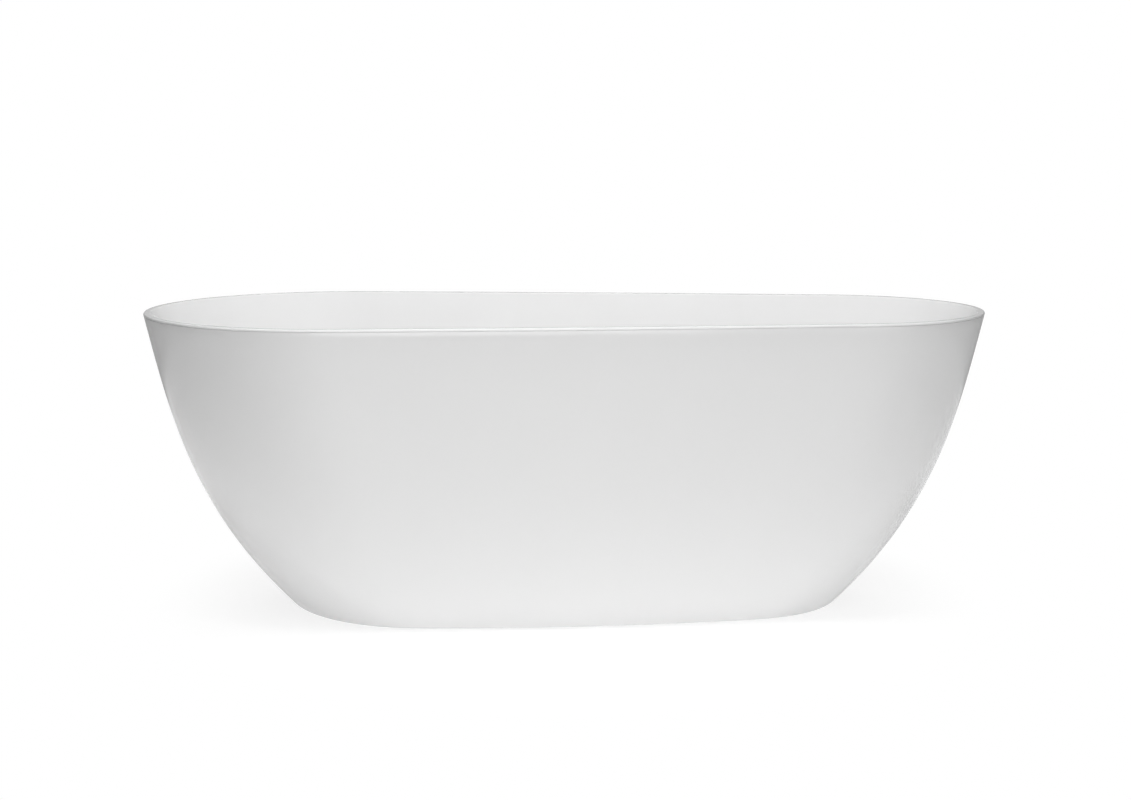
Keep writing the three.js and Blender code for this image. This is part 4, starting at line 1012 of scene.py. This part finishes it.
def flange_mesh():
    low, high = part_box("drain_flange")
    radius, top, bottom = half_across("drain_flange"), high.z, low.z
    under = top - FLANGE_PLATE
    grooves = []
    for z in np.arange(bottom + 0.002, under - 0.012, 0.002):
        tube = DRAIN_TUBE_RADIUS
        grooves += [(tube, z), (tube - 0.0005, z + 0.0005), (tube - 0.0005, z + 0.001), (tube, z + 0.0015)]
    shell = lathe([
        (radius, under), (radius, top - 0.001), (radius - 0.001, top), (SEAT_RADIUS, top),
        (THROAT_RADIUS, top - SEAT_DEPTH), (THROAT_RADIUS, bottom), (DRAIN_TUBE_RADIUS, bottom),
        *grooves, (DRAIN_TUBE_RADIUS, top - SEAT_DEPTH - 0.002), (DRAIN_TUBE_RADIUS, under),
    ], columns=WIDE_COLUMNS)
    spider_bottom, spider_top = top - SPIDER_DROP, top - SPIDER_DROP + SPIDER_HEIGHT
    boss = lathe([
        (SPIDER_BOSS - 0.0008, spider_bottom), (SPIDER_BOSS, spider_bottom + 0.0008),
        (SPIDER_BOSS, spider_top - 0.0008), (SPIDER_BOSS - 0.0008, spider_top),
    ], hollow=False)
    spokes = []
    for k in range(3):
        reach = THROAT_RADIUS + 0.001
        spoke = block((0, -SPOKE_HALF, spider_bottom), (reach, SPOKE_HALF, spider_top - 0.001))
        spokes.append(moved(spoke, Matrix.Rotation(k * TURN / 3, 4, "Z")))
    bore = rod(CARTRIDGE_RADIUS + SLIDE_GAP, spider_bottom - THROUGH, spider_top + THROUGH)
    return cut(join(shell, boss, *spokes), bore)


def cap_mesh():
    low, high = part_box("stopper_cap")
    radius = half_across("stopper_cap")
    edge_top = high.z - CAP_DOME
    under = edge_top - CAP_EDGE
    socket, boss = STEM_RADIUS + SLIDE_GAP, CAP_BOSS[0]
    start, corner, crown = np.array([(radius, edge_top), (radius - CAP_DOME, high.z), (0, high.z)])
    dome = [quadratic(t, start, corner, crown) for t in np.linspace(0, 0.98, 22)]
    outline = [
        (socket, under - CAP_SOCKET_ROOF + SLIDE_GAP), (socket, low.z), (boss, low.z), (boss, under),
        (radius - 0.0012, under), (radius - 0.0002, under + 0.0005), *dome,
    ]
    return lathe(outline, 0.0003, hollow=False, columns=WIDE_COLUMNS)


def seal_mesh():
    low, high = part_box("stopper_seal")
    flange_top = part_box("drain_flange")[1].z
    inner, outer = THROAT_RADIUS - SEAL_LAP, half_across("stopper_seal")
    slope = SEAT_DEPTH / (SEAT_RADIUS - THROAT_RADIUS)
    tube = DRAIN_TUBE_RADIUS
    tube_lip, outer_lip = (
        flange_top - SEAT_DEPTH + slope * (r - THROAT_RADIUS) + 2 * SLIDE_GAP for r in (tube, outer)
    )
    return lathe([
        (inner, high.z), (inner, tube_lip), (tube, tube_lip), (outer, outer_lip), (outer, high.z),
    ], 0.0003, columns=WIDE_COLUMNS)


def washer_mesh(node, inner, ease):
    low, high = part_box(node)
    outer = half_across(node)
    outline = [(inner, low.z), (outer, low.z), (outer, high.z), (inner, high.z)]
    return lathe(outline, ease, columns=WIDE_COLUMNS)


def cartridge_mesh():
    low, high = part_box("stopper_cartridge")
    shoulder = high.z - CARTRIDGE_CAP
    neck, rim = STEM_RADIUS + SLIDE_GAP, half_across("stopper_cartridge")
    outline = [
        (CARTRIDGE_RADIUS, low.z), (CARTRIDGE_RADIUS, shoulder), (rim, shoulder), (rim, high.z),
        (neck, high.z), (neck, shoulder), (CARTRIDGE_BORE, shoulder),
        (CARTRIDGE_BORE, low.z + CARTRIDGE_FLOOR),
    ]
    return lathe(outline, 0.0004, hollow=False)


def stem_mesh():
    low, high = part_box("stopper_stem")
    collar, rise = low.z + STEM_TAIL, STEM_COLLAR[1]
    outline = [
        (STEM_RADIUS - 0.0004, low.z), (STEM_RADIUS, low.z + 0.0004), (STEM_RADIUS, collar),
        (STEM_COLLAR[0], collar), (STEM_COLLAR[0], collar + rise), (STEM_RADIUS, collar + rise),
        (STEM_RADIUS, high.z - 0.0004), (STEM_RADIUS - 0.0004, high.z),
    ]
    return lathe(outline, 0.0002, hollow=False, columns=32)


def spring_mesh():
    """Wound wire whose end turns lie flat."""
    low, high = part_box("stopper_spring")
    radius = (CARTRIDGE_BORE + STEM_RADIUS) / 2
    bottom, top = low.z + SPRING_WIRE / 2, high.z - SPRING_WIRE / 2
    share = np.linspace(0, 1, SPRING_TURNS * 40 + 1)
    angle = share * SPRING_TURNS * TURN
    rising = SPRING_TURNS - 2 * SPRING_FLAT_TURN
    climb = np.clip((share * SPRING_TURNS - SPRING_FLAT_TURN) / rising, 0, 1)
    path = np.stack([radius * np.cos(angle), radius * np.sin(angle), lerp(bottom, top, climb)], 1)
    return loft(pipe_rings(path, np.full(len(path), SPRING_WIRE / 2), 12))


def sideways(radius, first, last, height, axis):
    """A level rod: away from the Z axis along -Y, or along +X."""
    turn = Matrix.Rotation(TURN / 4, 4, "X" if axis == "-Y" else "Y")
    return moved(rod(radius, first, last, 48), Matrix.Translation((0, 0, height)) @ turn)


def waste_body_mesh():
    low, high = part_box("waste_body")
    top, socket_end = high.z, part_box("drain_flange")[0].z
    flange, reach = half_across("waste_body"), -low.y
    port = middle("hose_nut_lower").z
    outside = lathe([
        (OUTLET_RADIUS, low.z), (OUTLET_RADIUS, BODY_FLOOR), (BODY_RADIUS, BODY_FLOOR),
        (BODY_RADIUS, top - BODY_FLANGE_HEIGHT), (flange, top - BODY_FLANGE_HEIGHT), (flange, top),
    ], 0.001, hollow=False)
    inside = lathe([
        (OUTLET_RADIUS - PIPE_WALL, low.z - THROUGH), (OUTLET_RADIUS - PIPE_WALL, BODY_FLOOR + PIPE_WALL),
        (BODY_RADIUS - PIPE_WALL, BODY_FLOOR + PIPE_WALL), (BODY_RADIUS - PIPE_WALL, socket_end - 0.002),
        (SOCKET_RADIUS, socket_end), (SOCKET_RADIUS, top + THROUGH),
    ], 0.0005, hollow=False)
    pipe = sideways(HOSE_RADIUS, 0, reach, port, "-Y")
    bore = sideways(HOSE_RADIUS - HOSE_WALL, 0, reach + THROUGH, port, "-Y")
    return cut(join(outside, pipe), inside, bore)


def trap_bowl_mesh():
    low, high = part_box("trap_bowl")
    radius, reach = high.y, high.x
    outside = lathe([
        (radius - TRAP_CORNER, low.z), (radius - TRAP_TOE, low.z + TRAP_TOE),
        (radius, low.z + TRAP_CORNER), (radius, high.z),
    ], 0.006, hollow=False, columns=WIDE_COLUMNS)
    bore_radius = radius - TRAP_WALL
    inside = lathe([
        (bore_radius - TRAP_CORNER, low.z + TRAP_WALL), (bore_radius - TRAP_TOE, low.z + TRAP_TOE + 0.002),
        (bore_radius, low.z + TRAP_CORNER + 0.002), (bore_radius, high.z + THROUGH),
    ], 0.006, hollow=False, columns=WIDE_COLUMNS)
    outlet = sideways(OUTLET_RADIUS, 0, reach, TRAP_OUTLET_HEIGHT, "+X")
    bore = sideways(OUTLET_RADIUS - PIPE_WALL, 0, reach + THROUGH, TRAP_OUTLET_HEIGHT, "+X")
    return cut(join(outside, outlet), inside, bore)


def add_waste():
    piece("waste_flange", flange_mesh(), "tub", "chrome", "drain_flange")
    for end, ease in (("upper", 0.0003), ("lower", 0.001)):
        gasket = washer_mesh("drain_gasket_" + end, SOCKET_RADIUS, ease)
        piece("waste_gasket_" + end, gasket, "tub", "black_rubber", "drain_gasket_" + end)
    piece("cartridge_turned", cartridge_mesh(), "tub", "zinc_plate", "stopper_cartridge")
    piece("spring_wound", spring_mesh(), "tub", "spring_steel", "stopper_spring")
    piece("stopper_stem_turned", stem_mesh(), "stopper", "zinc_plate", "stopper_stem")
    piece("stopper_cap_domed", cap_mesh(), "stopper", "chrome", "stopper_cap")
    piece("stopper_seal_lip", seal_mesh(), "stopper", "black_rubber", "stopper_seal")
    piece("waste_body_moulded", waste_body_mesh(), "tub", "white_plastic", "waste_body")
    piece("trap_bowl_moulded", trap_bowl_mesh(), "tub", "white_plastic", "trap_bowl")
    bore = OUTLET_RADIUS + SLIDE_GAP
    piece("trap_lid_moulded", washer_mesh("trap_lid", bore, 0.001), "tub", "white_plastic", "trap_lid")
    low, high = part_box("trap_nut")
    nut = grip_nut(bore, half_across("trap_nut"), low.z, high.z)
    piece("trap_nut_ribbed", nut, "tub", "grey_plastic", "trap_nut")


# ---- Overflow and its hose ----

COVER_STANDOFF = 0.006
COVER_THICKNESS = 0.006
COVER_BOSS = 0.007
COVER_RADIUS = 0.032
COVER_SCREW_PITCH = 0.0009
CUP_BORE = 0.025
CUP_WALL = 0.002
CUP_FLANGE = 0.033
CUP_FLANGE_THICKNESS = 0.0025
WALL_RELIEF = 0.001
GASKET_DEPTH = 0.0025
HOSE_NUT_RADIUS = 0.0125
HOSE_NUT_LENGTH = 0.020
HOSE_TAIL = CUP_FLANGE + WALL_RELIEF + HOSE_NUT_LENGTH / 2
CORRUGATION = 0.0042
CORRUGATION_DEPTH = 0.0011
CORRUGATION_STEPS = 6


def wall_bow(down):
    """How far the wall has bowed out behind the overflow's plane at a distance down the wall."""
    height = (OVERFLOW_PLACE @ Vector((0, -down, 0))).z
    on_wall = Vector((0, -side_width(height, cavity(height), 0), height))
    return max(0, -(OVERFLOW_PLACE.inverted() @ on_wall).z)


TAIL_DEPTH = BASIN_WALL + WALL_RELIEF + wall_bow(HOSE_TAIL + HOSE_NUT_LENGTH / 2) + HOSE_NUT_RADIUS
CUP_DEPTH = TAIL_DEPTH + HOSE_RADIUS


def cover_mesh():
    """A shallow domed disc on a boss, open all round behind its edge."""
    front = COVER_STANDOFF + COVER_THICKNESS
    bore = FLANGE_SCREW_RADIUS + SLIDE_GAP
    edge = corner_arc((COVER_RADIUS - 0.0025, front - 0.0035), 0.0025, 0, 0.4 * math.pi, 8)
    outline = [
        (bore, -COVER_STANDOFF), (COVER_BOSS, -COVER_STANDOFF), (COVER_BOSS, COVER_STANDOFF),
        (COVER_RADIUS - 0.001, COVER_STANDOFF), (COVER_RADIUS, COVER_STANDOFF + 0.001), *edge,
        (0.75 * COVER_RADIUS, front - 0.00035), (0.45 * COVER_RADIUS, front - 0.0001), (bore, front),
    ]
    return moved(lathe(outline, 0.0006, columns=128), OVERFLOW_PLACE)


def overflow_body_mesh():
    flange_top = -BASIN_WALL - WALL_RELIEF - GASKET_DEPTH - SLIDE_GAP
    pillar_top = -COVER_STANDOFF - SLIDE_GAP
    floor = CUP_WALL - CUP_DEPTH
    cup = CUP_BORE + CUP_WALL
    outside = lathe([
        (cup - 0.003, -CUP_DEPTH), (cup, 0.003 - CUP_DEPTH), (cup, flange_top - CUP_FLANGE_THICKNESS),
        (CUP_FLANGE, flange_top - CUP_FLANGE_THICKNESS), (CUP_FLANGE, flange_top),
        (COVER_BOSS, flange_top), (COVER_BOSS, pillar_top),
    ], 0.0005, hollow=False)
    inside = lathe([
        (COVER_BOSS, floor), (CUP_BORE, floor),
        (CUP_BORE, flange_top + THROUGH), (COVER_BOSS, flange_top + THROUGH),
    ], 0.0003)
    screw_bore = rod(FLANGE_SCREW_RADIUS + SLIDE_GAP, floor, pillar_top + THROUGH, 32)
    place = Matrix.Translation((0, 0, -TAIL_DEPTH)) @ Matrix.Rotation(TURN / 4, 4, "X")
    tail = moved(rod(HOSE_RADIUS, CUP_BORE / 2, HOSE_TAIL, 48), place)
    bore = moved(rod(HOSE_RADIUS - HOSE_WALL, CUP_BORE / 2, HOSE_TAIL + THROUGH, 48), place)
    return moved(cut(join(outside, tail), inside, screw_bore, bore), OVERFLOW_PLACE)


def cavity_middle(z):
    basin_back = side_width(z, cavity(z) - BASIN_WALL, 0)
    skirt_back = side_width(z, SKIRT_WALL, 0)
    return Vector((0, -(basin_back + skirt_back) / 2, z))


def down_wall(distance):
    """A point on the axis of the overflow's tail, past its end."""
    return OVERFLOW_PLACE @ Vector((0, -HOSE_TAIL - distance, -TAIL_DEPTH))


def before_port(distance):
    """A point on the axis of the waste body's port, outside it."""
    return Vector((0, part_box("waste_body")[0].y - distance, middle("hose_nut_lower").z))


def hose_path():
    """From the overflow's tail down between the skins, then under the frame to the waste body."""
    nut = middle("hose_nut_lower")
    bend = Vector((0, cavity_middle(BASIN_FLOOR).y + 4 * HOSE_RADIUS, nut.z + HOSE_RADIUS))
    below = down_wall(2 * HOSE_NUT_LENGTH)
    middles = [cavity_middle(lerp(BASIN_FLOOR, below.z, share)) for share in (2 / 3, 1 / 3, 0)]
    return catmull_rom([
        down_wall(SLIDE_GAP), down_wall(HOSE_NUT_LENGTH), below, *middles, bend,
        before_port(2 * HOSE_NUT_LENGTH), before_port(HOSE_NUT_LENGTH), before_port(SLIDE_GAP),
    ], 24)


def hose_mesh():
    """Corrugated between its plain ends, hollow all the way."""
    path, along = resampled(hose_path(), CORRUGATION / CORRUGATION_STEPS)
    plain = np.clip((np.minimum(along, along[-1] - along) - HOSE_NUT_LENGTH / 2) / CORRUGATION, 0, 1)
    wave = 0.5 - 0.5 * np.cos(along / CORRUGATION * TURN)
    outer = HOSE_RADIUS - CORRUGATION_DEPTH * plain * wave
    inner = np.full(len(path), HOSE_RADIUS - HOSE_WALL)
    outside = pipe_rings(path, outer, 32)
    inside = pipe_rings(path, inner, 32)[::-1][::CORRUGATION_STEPS]
    return loft([*outside, *inside], closed=True)


def add_overflow():
    piece("overflow_cover_domed", cover_mesh(), "tub", "chrome", "overflow_cover")
    seat = COVER_STANDOFF + COVER_THICKNESS + SLIDE_GAP
    screw = pan_screw(FLANGE_SCREW_RADIUS, seat + CUP_DEPTH - 2 * CUP_WALL, COVER_SCREW_PITCH)
    place = OVERFLOW_PLACE @ Matrix.Translation((0, 0, seat)) @ Matrix.Rotation(math.pi, 4, "X")
    piece("overflow_screw_pan", moved(screw, place), "tub", "chrome", "overflow_screw")
    top = -BASIN_WALL - WALL_RELIEF
    gasket = lathe([
        (CUP_BORE, top - GASKET_DEPTH), (CUP_FLANGE, top - GASKET_DEPTH),
        (CUP_FLANGE, top), (CUP_BORE, top),
    ], 0.0006, columns=WIDE_COLUMNS)
    gasket = moved(gasket, OVERFLOW_PLACE)
    piece("overflow_gasket_moulded", gasket, "tub", "black_rubber", "overflow_gasket")
    piece("overflow_body_moulded", overflow_body_mesh(), "tub", "white_plastic", "overflow_body")
    piece("hose_corrugated", hose_mesh(), "tub", "hose_grey", "overflow_hose")
    bore, length = HOSE_RADIUS + SLIDE_GAP, HOSE_NUT_LENGTH
    lying = Matrix.Rotation(TURN / 4, 4, "X")
    upper = Matrix.Translation((0, length / 2 - HOSE_TAIL, -TAIL_DEPTH)) @ lying
    low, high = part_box("hose_nut_lower")
    lower = Matrix.Translation((0, high.y, (low.z + high.z) / 2)) @ lying
    for end, place in (("upper", OVERFLOW_PLACE @ upper), ("lower", lower)):
        nut = moved(grip_nut(bore, HOSE_NUT_RADIUS, 0, length, 14, 0.0008), place)
        piece(f"hose_nut_{end}_ribbed", nut, "tub", "grey_plastic", "hose_nut_" + end)


# ---- Floor, lights and camera ----

FLOOR_RADIUS = 2.4
FLOOR_DEPTH = 0.05
# The camera sees the floor's shading through a white veil, which is full from the outer radius on.
SHADOW_VEIL = 0.6
FLOOR_FADE = (0.45, 0.85)
CAMERA_YAW = math.radians(0.394)
CAMERA_PITCH = math.radians(8.473)
CAMERA_DISTANCE = 3.914
CAMERA_LENS = 62.4
CAMERA_SENSOR = 36.0
CAMERA_AIM = (0.0012, 0.0947)
AIM_HEIGHT = 0.3014

# name: place, size, energy, whether its reflection shows. Each lamp points at the tub's middle.
LAMPS = {
    "front": ((0.1, -4.4, 1.4), (2.7, 2.4), 36.0, True),
    "above_front": ((0.1, -2.2, 3.0), (2.4, 1.6), 19.0, False),
    "above_right": ((2.2, -1.8, 2.2), (1.4, 1.4), 7.0, False),
    "above_head": ((-0.15, -0.75, 2.8), (0.8, 0.8), 42.0, False),
    "back": ((0.0, 3.8, 2.2), (2.8, 1.8), 52.0, False),
}
# The world's strength as a light, what is added to it in reflections, and the floor's own light.
AMBIENT = 0.06
MIRRORED = 0.30
FLOOR_GLOW = 0.30


def add_camera():
    data = bpy.data.cameras.new("photo_camera")
    data.lens = CAMERA_LENS
    data.sensor_width = CAMERA_SENSOR
    camera = bpy.data.objects.new("photo_camera", data)
    forward = Vector((
        math.sin(CAMERA_YAW) * math.cos(CAMERA_PITCH),
        math.cos(CAMERA_YAW) * math.cos(CAMERA_PITCH),
        -math.sin(CAMERA_PITCH),
    ))
    right = Vector((math.cos(CAMERA_YAW), -math.sin(CAMERA_YAW), 0))
    aim = Vector((0, 0, AIM_HEIGHT)) + right * CAMERA_AIM[0] + right.cross(forward) * CAMERA_AIM[1]
    camera.location = aim - forward * CAMERA_DISTANCE
    camera.rotation_euler = forward.to_track_quat("-Z", "Y").to_euler()
    bpy.context.scene.collection.objects.link(camera)
    bpy.context.scene.camera = camera


def add_lamps():
    target = Vector((0, 0, HEIGHT / 2))
    for name, (place, size, energy, glossy) in LAMPS.items():
        data = bpy.data.lights.new(name, "AREA")
        data.shape = "RECTANGLE"
        data.size, data.size_y = size
        data.energy = energy
        lamp = bpy.data.objects.new(name, data)
        lamp.visible_glossy = glossy
        lamp.location = place
        lamp.rotation_euler = (target - lamp.location).to_track_quat("-Z", "Y").to_euler()
        bpy.context.scene.collection.objects.link(lamp)


def ray(tree, kind):
    """1 for rays of a kind, 0 for others. Camera rays are what is seen directly, and light nothing."""
    return tree.nodes.new("ShaderNodeLightPath").outputs[f"Is {kind} Ray"]


def add_world():
    """White behind the tub, a grey room in its reflections, and hardly any light from it."""
    world = bpy.data.worlds.new("studio")
    world.use_nodes = True
    tree = world.node_tree
    background = tree.nodes["Background"]
    background.inputs["Color"].default_value = (1, 1, 1, 1)
    strength = tree.nodes.new("ShaderNodeMapRange")
    strength.inputs["To Min"].default_value = AMBIENT
    strength.inputs["To Max"].default_value = 1.0
    tree.links.new(ray(tree, "Camera"), strength.inputs["Value"])
    mirrored = tree.nodes.new("ShaderNodeMath")
    mirrored.operation = "MULTIPLY_ADD"
    mirrored.inputs[1].default_value = MIRRORED
    tree.links.new(ray(tree, "Glossy"), mirrored.inputs[0])
    tree.links.new(strength.outputs["Result"], mirrored.inputs[2])
    tree.links.new(mirrored.outputs[0], background.inputs["Strength"])
    bpy.context.scene.world = world


def floor_finish():
    """A pale floor, lit by the lamps and glowing faintly with its own light, with a veiled shadow. It
    turns into the white background round the tub.
    """
    # Painted light: the floor's emission makes it glow, and the glow lights the tub's lower skirt from
    # below.
    finish = Nodes("floor_finish", 0.7, Emission_Color=(1, 1, 1, 1), Emission_Strength=FLOOR_GLOW)
    finish.colour(finish.noise(3, 4), (0.3, shade(FLOOR_WHITE, 0.99)), (0.7, FLOOR_WHITE))
    distance = finish.add("ShaderNodeVectorMath", operation="LENGTH")
    finish.link(finish.place, distance.inputs[0])
    fade = finish.add("ShaderNodeMapRange", interpolation_type="SMOOTHSTEP")
    fade.inputs["From Min"].default_value, fade.inputs["From Max"].default_value = FLOOR_FADE
    fade.inputs["To Min"].default_value = SHADOW_VEIL
    finish.link(distance.outputs["Value"], fade.inputs["Value"])
    seen = finish.add("ShaderNodeMath", operation="MULTIPLY")
    finish.link(fade.outputs["Result"], seen.inputs[0])
    finish.link(ray(finish.tree, "Camera"), seen.inputs[1])
    mix = finish.add("ShaderNodeMixShader")
    finish.link(seen.outputs[0], mix.inputs[0])
    finish.link(finish.shader.outputs[0], mix.inputs[1])
    finish.link(finish.add("ShaderNodeEmission").outputs[0], mix.inputs[2])
    finish.link(mix.outputs[0], finish.tree.nodes["Material Output"].inputs["Surface"])
    return finish.material


def add_floor():
    """A round slab whose top is at the height of the feet."""
    mesh = loft([circle_ring(FLOOR_RADIUS, z, WIDE_COLUMNS) for z in (-FLOOR_DEPTH, 0)])
    mesh.materials.append(floor_finish())
    floor = bpy.data.objects.new("floor", mesh)
    bpy.context.scene.collection.objects.link(floor)


paint_nodes()
add_skins()
add_frame()
add_feet()
add_waste()
add_overflow()
add_world()
add_lamps()
add_floor()
add_camera()
bpy.context.scene.view_settings.view_transform = "Standard"
